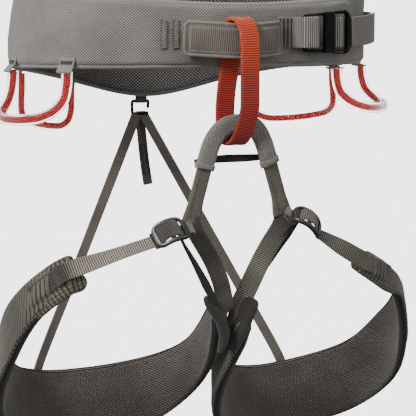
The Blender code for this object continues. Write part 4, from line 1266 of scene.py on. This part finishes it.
# ---------------------------------------------------------------- buckles


def rounded_outline(middle, span, tall, radius, steps=8):
    corners = []
    for quarter, (x, y) in enumerate(((1, 1), (-1, 1), (-1, -1), (1, -1))):
        cx, cy = middle + x * (span / 2.0 - radius), y * (tall / 2.0 - radius)
        for step in range(steps + 1):
            turn = math.pi / 2.0 * (quarter + step / steps)
            corners.append((cx + math.cos(turn) * radius, cy + math.sin(turn) * radius))
    return corners


def rounded(corners, radii, steps=8):
    """A closed outline through corners, each rounded to its own radius."""
    points = []
    count = len(corners)
    for k in range(count):
        here, before, after = (np.array(corners[(k + step) % count], float) for step in (0, -1, 1))
        a, b = unit(before - here), unit(after - here)
        half = math.acos(max(-1.0, min(1.0, float(a.dot(b))))) / 2.0
        centre = here + unit(a + b) * radii[k] / math.sin(half)
        start = here + a * radii[k] / math.tan(half) - centre
        end = here + b * radii[k] / math.tan(half) - centre
        for step in range(steps + 1):
            mixed = unit(start * (1 - step / steps) + end * step / steps) * radii[k]
            points.append(tuple(centre + mixed))
    return points


def plate(name, outlines, thickness, bevel, material, bend=None):
    """A plate with rounded edges. The first outline is its rim and the others are windows.

    bend(x, y) lifts it off its plane.
    """
    curve = bpy.data.curves.new(name, "CURVE")
    curve.dimensions = "2D"
    curve.fill_mode = "BOTH"
    curve.extrude = (thickness / 2.0 - bevel) * MM
    curve.bevel_depth = bevel * MM
    curve.bevel_resolution = 3
    curve.offset = -bevel * MM
    for corners in outlines:
        line = curve.splines.new("POLY")
        line.points.add(len(corners) - 1)
        for point, (x, y) in zip(line.points, corners):
            point.co = (x * MM, y * MM, 0.0, 1.0)
        line.use_cyclic_u = True
    made = bpy.data.objects.new(name + "_curve", curve)
    bpy.context.scene.collection.objects.link(made)
    seen = made.evaluated_get(bpy.context.evaluated_depsgraph_get())
    mesh = bpy.data.meshes.new_from_object(seen)
    bpy.data.objects.remove(made)
    shape = bmesh.new()
    shape.from_mesh(mesh)
    bmesh.ops.remove_doubles(shape, verts=shape.verts, dist=0.000002)
    if bend:
        edges = [edge for edge in shape.edges if edge.calc_length() > 0.003]
        bmesh.ops.subdivide_edges(shape, edges=edges, cuts=7, use_grid_fill=False)
        bmesh.ops.triangulate(shape, faces=shape.faces)
        for vert in shape.verts:
            vert.co.z += bend(vert.co.x / MM, vert.co.y / MM) * MM
    bmesh.ops.recalc_face_normals(shape, faces=shape.faces)
    shape.to_mesh(mesh)
    shape.free()
    mesh.name = name
    obj = bpy.data.objects.new(name, mesh)
    bpy.context.scene.collection.objects.link(obj)
    mesh.materials.clear()
    mesh.materials.append(material)
    mesh.shade_smooth()
    mesh.set_sharp_from_angle(angle=math.radians(32))
    return obj


def stand(obj, middle, wide, out):
    """Turns a piece's Y to wide and Z to out, and puts it at middle."""
    along = np.cross(wide, out)
    turn = Matrix((Vector(along), Vector(wide), Vector(out))).transposed().to_4x4()
    obj.data.transform(Matrix.Translation(Vector(middle) * MM) @ turn)
    return outward(obj)


def make_leg_buckle(side):
    run, wide, out = buckle_axes(side)
    middle = vec(*LEG_BUCKLE[side])
    flip = 1.0 if np.cross(wide, out).dot(run) > 0 else -1.0
    body, leg = f"leg_buckle_body_{side}", f"leg_loop_{side}"
    outlines = [rounded_outline(0.0, 27.0, 21.0, 6.5)]
    outlines += [rounded_outline(x * flip, 8.4, 15.6, 1.6) for x in (-5.7, 5.7)]

    def bow(x, y):
        return 4.4 * math.cos(math.pi * x / 27.0) - 2.4

    rim = plate(f"leg_buckle_frame_{side}", outlines, 4.2, 1.1, looks[LEG_ALLOY[side]], bow)
    stand(rim, middle, wide, out)
    finish_piece(rim, body, "alloy", [f"leg_buckle_{side}"])

    def near(along, off):
        return middle + run * along + out * off

    first, last = LEG_EDGES[side][0][0], LEG_STRAP_END[side]
    on_pad = [outside_pad(side, first + (last - first) * share, 0.55, 2.1)
              for share in (1.25, 0.8, 0.4, 0.0)]
    tip = near(-16.4, -BEHIND - 1.8)
    lead = [on_pad[-1] + (tip - on_pad[-1]) * share for share in (0.33, 0.66)]
    look = looks[LEG_STRAP_LOOK[side]]
    turn_low, turn_high = LEG_STRAP_TURN[side]
    path = spline(on_pad + lead + [tip, near(-13.6, -BEHIND - 2.0)])

    def turned(u):
        share = smoothstep(turn_low, turn_high, u)[:, None]
        return vec(0, 0, 1) * (1.0 - share) + wide * share

    def drawn_in(u):
        return 1.0 - LEG_STRAP_TAPER[side] * smoothstep(0.35, 0.95, u)

    ribbon = Ribbon(path, turned, 0.4)
    strap = webbing(f"leg_front_strap_{side}", ribbon, 13.6, WEB, look, 1.8, 0.22, 0.25,
                    taper=drawn_in)
    finish_piece(strap, leg, "strap_web", [f"leg_strap_{side}"])
    turn = spline([near(along, off) for along, off in LEG_STRAP_ROUTE])
    ribbon = Ribbon(turn, tuple(wide), 0.3)
    loop = webbing(f"leg_strap_turn_{side}", ribbon, 15.2, WEB, look, 1.7, 0.2)
    finish_piece(loop, body, "strap_web", [f"leg_strap_thread_{side}"])
    joint = vec(*LEG_JUNCTION[side])
    sewn = [joint + vec(x * SIDES[side], y, z) for x, y, z in LEG_HOLD_SEWN]
    hold = spline([near(along, off) for along, off in LEG_HOLD_ROUTE] + sewn)

    def straight(u):
        share = smoothstep(0.6, 0.95, u)[:, None]
        return wide * (1.0 - share) + vec(0, 0, 1) * share

    def narrowed(u):
        return 1.0 - 0.5 * smoothstep(0.75, 1.0, u)

    ribbon = Ribbon(hold, straight, 0.4)
    back = webbing(f"leg_buckle_strap_{side}", ribbon, 11.0, 2.0, looks["webbing"], 1.4, 0.12,
                   taper=narrowed)
    finish_piece(back, leg, "webbing", [f"leg_buckle_webbing_{side}"])
    make_strap_pocket(side)
    make_front_lobe(side)


def make_strap_pocket(side):
    """The pad's outer fabric folded over the front strap's end and sewn down."""
    first, last = {"right": (52.5, 69.0), "left": (11.5, 31.0)}[side]
    n, m = 50, 30
    share, v = np.meshgrid(np.linspace(0.0, 1.0, n), np.linspace(0.0, 1.0, m), indexing="ij")
    angle = first + (last - first) * share + 1.8 * (v - 0.5) * (1.0 - share)
    radius, top, bottom = pad_rows(side, angle, 600)
    height = bottom + (top - bottom) * (0.09 + 0.85 * v)
    over = np.exp(-(((v - 0.54) * (top - bottom) * 0.85) / 8.6) ** 6)
    rim = np.minimum(np.minimum(share, 1.0 - share) * n / 3.0, np.minimum(v, 1.0 - v) * m / 3.0)
    swell = 0.5 + 2.9 * over * (1.0 - smoothstep(0.45, 0.9, share))
    rise = 0.25 + swell * smoothstep(0.0, 1.0, rim + 0.35 * over)
    rise = rise + 0.22 * np.sin(v * 9.0 + share * 5.0) * smoothstep(0.2, 0.6, share)
    outer, inner = (thigh_point(side, angle, radius, height, top, lower - rise)
                    for lower in (0.0, POCKET_FABRIC))
    cloth = np.stack([share * 26.0, v * (top - bottom), 0.0 * v], -1)
    obj = two_sheets(f"leg_strap_pocket_{side}", [outer, inner], cloth, looks["leg_face"])
    finish_piece(obj, f"leg_loop_{side}", "leg_face")

    def surface(a, b):
        a, b = np.asarray(a, float), np.asarray(b, float)
        row, column = np.clip(a, 0, 1) * (n - 1), np.clip(b, 0, 1) * (m - 1)
        i, j = np.minimum(row.astype(int), n - 2), np.minimum(column.astype(int), m - 2)
        x, y = (row - i)[..., None], (column - j)[..., None]
        spot = (outer[i, j] * (1 - x) * (1 - y) + outer[i + 1, j] * x * (1 - y)
                + outer[i, j + 1] * (1 - x) * y + outer[i + 1, j + 1] * x * y)
        turn = np.radians(first + (last - first) * a)
        return spot, np.stack([SIDES[side] * np.sin(turn), -np.cos(turn), 0 * a], -1)

    seams = []
    for a, low, high, lift in ((0.07, 0.05, 0.95, 0.35), (0.14, 0.05, 0.95, 0.35),
                               (0.93, 0.08, 0.92, 0.3)):
        seams += running(surface, [(a, low), (a, high)], 0.05, lift)
    name = f"leg_pocket_stitches_{side}"
    stitch(name, seams, 0.22, "thread_olive", f"leg_loop_{side}", "leg_face")


def make_waist_buckle():
    run, wide, out = waist_buckle_axes()
    middle = on_belt(BUCKLE_ANGLE, BUCKLE_OUT, BUCKLE_Z)
    flip = 1.0 if np.cross(wide, out).dot(run) > 0 else -1.0
    outlines = [rounded([(x * flip, y) for x, y in corners], radii)
                for corners, radii in WAIST_BUCKLE_OUTLINES]
    black = looks["black_alloy"]
    rim = plate("waist_buckle_body", outlines, 3.2, 1.1, black,
                lambda x, y: 0.6 - 1.2 * (x / 26.0) ** 2)
    stand(rim, middle, wide, out)
    finish_piece(rim, "waist_buckle", "black_alloy", ["waist_buckle_frame"])
    bar = plate("waist_buckle_bar", [rounded_outline(0.0, 11.5, 32.5, 2.5)], 3.0, 0.9, black,
                lambda x, y: -0.5 * (x / 5.7) ** 2)
    stand(bar, middle - run * 2.0 + out * (BUCKLE_PLATE + 0.8), wide, out)
    finish_piece(bar, "waist_slider", "black_alloy", ["waist_buckle_slider"])

    def near(along, off):
        return middle + run * along + out * off

    over, half, height = BEHIND + 0.1, 24.0, BUCKLE_Z
    web = looks["waist_web"]
    sewn = spline([
        on_belt(17.5, 0.9, height), on_belt(22.5, 1.0, height), on_belt(24.5, 1.2, height),
        near(-half - 5.2, -1.0), near(-half - 4.0, 0.2),
    ])
    ribbon = Ribbon(sewn, (0, 0, 1), 0.3)
    strap = webbing("waist_sewn_webbing", ribbon, WAIST_WEB, WEB, web, 1.6, 0.25)
    finish_piece(strap, "waist_belt", "waist_web", ["buckle_webbing"])
    face = ribbon_surface(ribbon, 0.8, 1.0 if ribbon.thick[2].dot(out) > 0 else -1.0)
    dark, light = [], []
    for s in np.arange(1.5, min(15.0, ribbon.length - 2.0), 3.4):
        dark += zigzag(face, (s, -11), (s, 11), 1.0, 1.25, 0.5)
        light += zigzag(face, (s + 1.4, -11), (s + 1.4, 11), 0.8, 1.6, 0.6)
    stitch("waist_bartacks_dark", dark, 0.32, "thread_dark", "waist_belt", "waist_web")
    stitch("waist_bartacks_light", light, 0.28, "thread_light", "waist_belt", "waist_web")
    fold = spline([
        near(-half - 4.9, 0.4), near(-half - 3.4, over + 0.2), near(-half - 0.5, over + 1.0),
        near(-half + 5, over + 1.1), near(-half + 9, over + 0.5), near(-half + 12, 0.6),
        near(-half + 15, -1.6),
    ])

    def ridges(u):
        return 1.0 - 0.8 * smoothstep(0.38, 0.55, u)

    ridged = looks["waist_ridge"]
    ribbon = Ribbon(fold, (0, 0, 1), 0.25)
    loop = webbing("waist_webbing_fold", ribbon, WAIST_WEB, 1.6, ridged, 2.1, 0.75, fade=ridges)
    finish_piece(loop, "waist_buckle", "waist_web", ["buckle_webbing_fold"])
    turn = spline([
        near(2.6, -over - 0.3), near(5.0, -0.4), near(8.5, 1.2), near(13, 0.9),
        near(17, -over + 0.3), near(half, -over), near(half + 2.5, -over),
    ])
    ribbon = Ribbon(turn, (0, 0, 1), 0.25)
    through = webbing("waist_strap_turn", ribbon, WAIST_WEB, WEB, ridged, 2.1, 0.7)
    finish_piece(through, "waist_buckle", "waist_web", ["waist_strap_thread"])
    start, free = near(half + 2.4, -over), near(half + 1.5, 0.6)
    for name, body, first, lead, node in (
            ("waist_main_strap", "waist_belt", start, STRAP_LEAD, "waist_strap"),
            ("waist_free_tail", "waist_buckle", free, TAIL_LEAD, "waist_strap_tail")):
        path = spline([first] + [on_belt(angle, off, height + up) for angle, off, up in lead])
        part = webbing(name, Ribbon(path, (0, 0, 1), 0.35), WAIST_WEB, WEB, web, 1.0, 0.1)
        finish_piece(part, body, "waist_web", [node])
    make_side_band()


def make_side_band():
    """The narrow band that runs over the belt beside the buckle's strap."""
    angle = np.array(SIDE_BAND_ANGLE)
    bottom, top = belt_edges(angle)
    points = []
    for share in np.linspace(0.0, 1.0, 9):
        off = -float(overlap(angle)) + 0.9 - 3.4 * (2.0 * share - 1.0) ** 8
        points.append(on_belt(angle, off, bottom - 2.4 + (top - bottom + 4.8) * share))
    normal = waist_normal(angle)
    ribbon = Ribbon(spline(points), (-normal[1], normal[0], 0.0), 0.4)
    band = webbing("belt_side_band", ribbon, 13.0, 1.4, looks["waist_web"], 1.0, 0.08)
    finish_piece(band, "waist_belt", "waist_web")


# ---------------------------------------------------------------- inner straps, risers, back


def make_inner_strap(side):
    path = spline(INNER_STRAP[side])
    lead = unit(path(np.array(0.42)) - path(np.array(0.38)))
    facing = unit(np.cross(lead, vec(INNER_STRAP_LEAN[side], -1.0, 0.1)))
    tilt = unit(vec(0.0, 0.35, math.copysign(1.0, facing[2])))

    def across(u):
        share = smoothstep(0.5, 0.95, u)[:, None]
        return facing * (1.0 - share) + tilt * share

    ribbon, wide = Ribbon(path, across, 0.36), INNER_STRAP_WIDTH[side]
    look = looks["inner_strap"]
    strap = webbing(f"leg_twill_strap_{side}", ribbon, wide, 1.6, look, 1.6, 0.2, 0.3)
    finish_piece(strap, f"leg_loop_{side}", "webbing", [f"leg_inner_strap_{side}"])
    dark = DARK_RIBBON[side]
    run = unit(vec(*dark[-1]) - vec(*dark[0]))
    over = unit(np.cross(run, vec(0.3, -1.0, 0.1)))
    ribbon = Ribbon(spline(dark), tuple(over), 0.4)

    def taper(u):
        return np.interp(u, *DARK_RIBBON_TAPER[side])

    look = looks["dark_ribbon"]
    tail = webbing(f"leg_dark_ribbon_{side}", ribbon, 8.0, 1.3, look, 0.9, 0.1, 0.15, taper=taper)
    finish_piece(tail, f"leg_loop_{side}", "webbing")
    make_pad_cap(side)


def make_pad_cap(side):
    """The rolled end of a pad's outer fabric, over the inner strap's sewn end."""
    points, wide, deep = PAD_CAP[side]
    path = spline(points)
    lead = unit(vec(*points[-1]) - vec(*points[0]))
    over = unit(np.cross(lead, vec(-0.75 * SIDES[side], -0.66, 0.0)))
    ribbon = Ribbon(path, tuple(over), 0.5)
    look = looks["leg_rim_face"]
    cap = make_sleeve(f"leg_end_fold_{side}", ribbon, wide, deep, look, 0.6, 0.35, 5.0)
    finish_piece(cap, f"leg_loop_{side}", "leg_face")


def make_front_lobe(side):
    """The pad's front end, rolled on past the strap that is sewn to it."""
    run = buckle_axes(side)[0]
    for number, (on_pad, beyond, wide, deep, corner) in enumerate(FRONT_LOBES[side]):
        points = [outside_pad(side, *place) for place in on_pad]
        points += [points[-1] + run * reach for reach in beyond]
        ribbon = Ribbon(spline(points), (0, 0, 1), 0.5)
        end = f"{side}_{number}"
        look = looks["leg_face"]
        lobe = make_sleeve(f"leg_front_roll_{end}", ribbon, wide, deep, look, 0.7, 0.3, corner)
        finish_piece(lobe, f"leg_loop_{side}", "leg_face")
        face = ribbon_surface(ribbon, deep / 2.0 - 0.25, ribbon.front())
        crease = running(face, [(4.0, wide * 0.16), (ribbon.length - 3.0, wide * 0.16)], 1.6, 0.3)
        name = f"leg_front_stitches_{end}"
        stitch(name, crease, 0.2, "thread_dark", f"leg_loop_{side}", "leg_face")


def make_riser(side):
    angle = RISER_ANGLE[side]
    sign = SIDES[side]
    top = vec(BACK_X + 3.6 * sign, HOOK_Y + 0.4 + 1.2 * sign, -72.5)
    edge = outside_pad(side, angle, 1.06, 2.8)
    face = outside_pad(side, angle, 0.8, 2.3)
    foot = outside_pad(side, angle, 0.55, 2.3)
    drop = edge - top
    path = spline([top, top + drop * 0.33, top + drop * 0.66, edge, face, foot])
    turn = math.radians(angle)
    round_pad = vec(-math.cos(turn), -sign * math.sin(turn), 0.0)

    def across(u):
        share = smoothstep(0.1, 0.6, u)[:, None]
        return vec(1.0, 0.0, 0.0) * (1.0 - share) + round_pad * share

    ribbon = Ribbon(path, across, 0.9)
    strap = webbing(f"elastic_riser_{side}", ribbon, 9.0, WEB, looks["riser"], belly=0.2)
    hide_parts(f"riser_{side}")
    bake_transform(strap)


def make_back():
    x, back = BACK_X, WAIST_HALF_DEPTH
    side = (1, 0, 0)
    tab = spline([(x, back + off, z) for off, z in REAR_TAB_ROUTE])
    ribbon = Ribbon(tab, side, 0.35)
    strap = webbing("rear_webbing_tab", ribbon, 11.0, 1.7, looks["tab"], 1.2, 0.16)
    finish_piece(strap, "waist_belt", "tab", ["rear_hook_tab"])
    sign = 1.0 if ribbon.thick[5][1] > 0 else -1.0
    face = ribbon_surface(ribbon, 0.85, sign)
    seams = []
    for s in (4, 12):
        seams += zigzag(face, (s, -4), (s, 4), 1.6, 1.2, 0.45)
    stitch("rear_tab_stitches", seams, 0.26, "thread_light", "waist_belt", "tab")
    hook = spline([(x + px, HOOK_Y, pz) for px, pz in HOOK_OUTLINE])
    black = looks["black_alloy"]
    bar = round_bar("rear_wire_hook", hook, 1.3, black, 14, 0.5)
    finish_piece(bar, "rear_hook_body", "black_alloy", ["rear_hook"])
    prong = spline([(x + px, HOOK_Y, pz) for px, pz in HOOK_PRONG])
    bar = round_bar("rear_hook_prong", prong, 1.15, black, 12, 0.5)
    finish_piece(bar, "rear_hook_body", "black_alloy")
    tail_y = HOOK_Y + 4.2
    tail = spline([
        (x + 1.0, tail_y - 2.0, -70.5), (x + 1.5, tail_y, -74), (x + 3.5, tail_y, -95),
        (x + 5.5, tail_y - 0.5, -115), (x + 8.5, tail_y - 1, -136),
    ])
    ribbon = Ribbon(tail, side, 0.5)
    end = webbing("riser_free_end", ribbon, 9.0, 1.6, looks["riser"], belly=0.2)
    finish_piece(end, "rear_hook_body", "riser", ["riser_tail"])
    seams = []
    for face in (ribbon_surface(ribbon, 0.85, 1.0), ribbon_surface(ribbon, 0.85, -1.0)):
        for w in (-2.2, 2.2):
            seams += zigzag(face, (30, w), (58, w), 0.9, 1.6, 0.3)
    stitch("riser_end_stitches", seams, 0.22, "thread_dark", "rear_hook_body", "riser")
    haul = spline([(0, back + off, z) for off, z in HAUL_ROUTE])
    ribbon = Ribbon(haul, side, 0.35)
    loop = webbing("haul_webbing_loop", ribbon, 16.0, 2.2, looks["tab"], 1.3, 0.2)
    finish_piece(loop, "waist_belt", "tab", ["haul_loop"])
    sign = 1.0 if ribbon.thick[5][1] > 0 else -1.0
    face = ribbon_surface(ribbon, 1.1, sign)
    seams = []
    for s in (2.4, ribbon.length - 2.4):
        seams += zigzag(face, (s, -6.5), (s, 6.5), 1.6, 1.2, 0.45)
    stitch("haul_loop_bartacks", seams, 0.26, "thread_dark", "waist_belt", "tab")


make_belt()
make_tie_in_bar()
make_bartacks()
make_belay_loop()
make_bridge()
make_gear_loops()
for each in SIDES:
    make_leg_pad(each)
    make_leg_buckle(each)
    make_inner_strap(each)
    make_riser(each)
make_waist_buckle()
make_back()


# ---------------------------------------------------------------- camera, light, floor

# From here lengths are metres, apart from the camera's distance and aim.
FLOOR_GLOW = 3.6
FLOOR_HEIGHT = -0.45
STUDIO_RADIUS = 12.0
WORLD_LIGHT = (0.12, 0.75)  # from straight below to straight above
LIGHTS_AIM = Vector((0, 0, -0.15))
SENSOR, LENS = 36.0, 140.19
AZIMUTH, ELEVATION, DISTANCE = math.radians(-24.0), math.radians(7.0), 1350.0
back = Vector((
    math.sin(AZIMUTH) * math.cos(ELEVATION), -math.cos(AZIMUTH) * math.cos(ELEVATION),
    math.sin(ELEVATION),
))
right = Vector((math.cos(AZIMUTH), math.sin(AZIMUTH), 0.0))
aim = right * 15.0 + Vector((0, 0, -145.0))


def make_camera():
    data = bpy.data.cameras.new("camera")
    data.sensor_width = SENSOR
    data.lens = LENS
    data.clip_end = 20.0
    camera = bpy.data.objects.new("camera", data)
    camera.location = (aim + back * DISTANCE) * MM
    camera.rotation_mode = "QUATERNION"
    camera.rotation_quaternion = (-back).to_track_quat("-Z", "Y")
    bpy.context.scene.collection.objects.link(camera)
    bpy.context.scene.camera = camera


def area_light(name, place, size, power):
    data = bpy.data.lights.new(name, "AREA")
    data.shape = "DISK"
    data.size = size
    data.energy = power
    lamp = bpy.data.objects.new(name, data)
    lamp.location = place
    lamp.rotation_mode = "QUATERNION"
    lamp.rotation_quaternion = (Vector(place) - LIGHTS_AIM).to_track_quat("Z", "Y")
    bpy.context.scene.collection.objects.link(lamp)


def make_floor():
    """A pale floor that curves up into a round studio wall. It is seen but throws no light."""
    n = Nodes("pale_floor")
    tone = n.noise(0.4, 2.0)
    material = n.done(n.mix(tone, (0.02, 0.02, 0.02), (0.022, 0.022, 0.022)), 1.0)
    n.shader.inputs["Emission Color"].default_value = (1.0, 1.0, 1.0, 1.0)
    n.shader.inputs["Emission Strength"].default_value = FLOOR_GLOW
    n.shader.inputs["Specular IOR Level"].default_value = 0.0
    mesh = bpy.data.meshes.new("floor")
    shape = bmesh.new()
    bmesh.ops.create_uvsphere(shape, u_segments=64, v_segments=32, radius=STUDIO_RADIUS)
    for vert in shape.verts:
        vert.co.z = max(vert.co.z, FLOOR_HEIGHT)
    bmesh.ops.reverse_faces(shape, faces=shape.faces)
    shape.to_mesh(mesh)
    shape.free()
    floor = bpy.data.objects.new("floor", mesh)
    bpy.context.scene.collection.objects.link(floor)
    mesh.materials.append(material)
    floor.visible_diffuse = False
    floor.visible_glossy = False
    floor.visible_shadow = False


def make_world():
    """White light from all round, stronger from above."""
    world = bpy.data.worlds.new("studio")
    world.use_nodes = True
    tree = world.node_tree
    shade = tree.nodes["Background"]
    place = tree.nodes.new("ShaderNodeTexCoord")
    split = tree.nodes.new("ShaderNodeSeparateXYZ")
    level = tree.nodes.new("ShaderNodeMapRange")
    tree.links.new(place.outputs["Generated"], split.inputs[0])
    tree.links.new(split.outputs[2], level.inputs[0])
    for socket, value in zip(level.inputs[1:5], (-1.0, 1.0, *WORLD_LIGHT)):
        socket.default_value = value
    tree.links.new(level.outputs[0], shade.inputs["Strength"])
    shade.inputs["Color"].default_value = (1.0, 1.0, 1.0, 1.0)
    bpy.context.scene.world = world


make_camera()
make_world()
make_floor()
area_light("key", (-1.9, -1.05, 1.3), 0.7, 60.0)
area_light("fill", (1.5, -1.3, 0.5), 1.0, 5.0)
area_light("rear", (0.6, 1.4, 1.0), 1.0, 10.0)
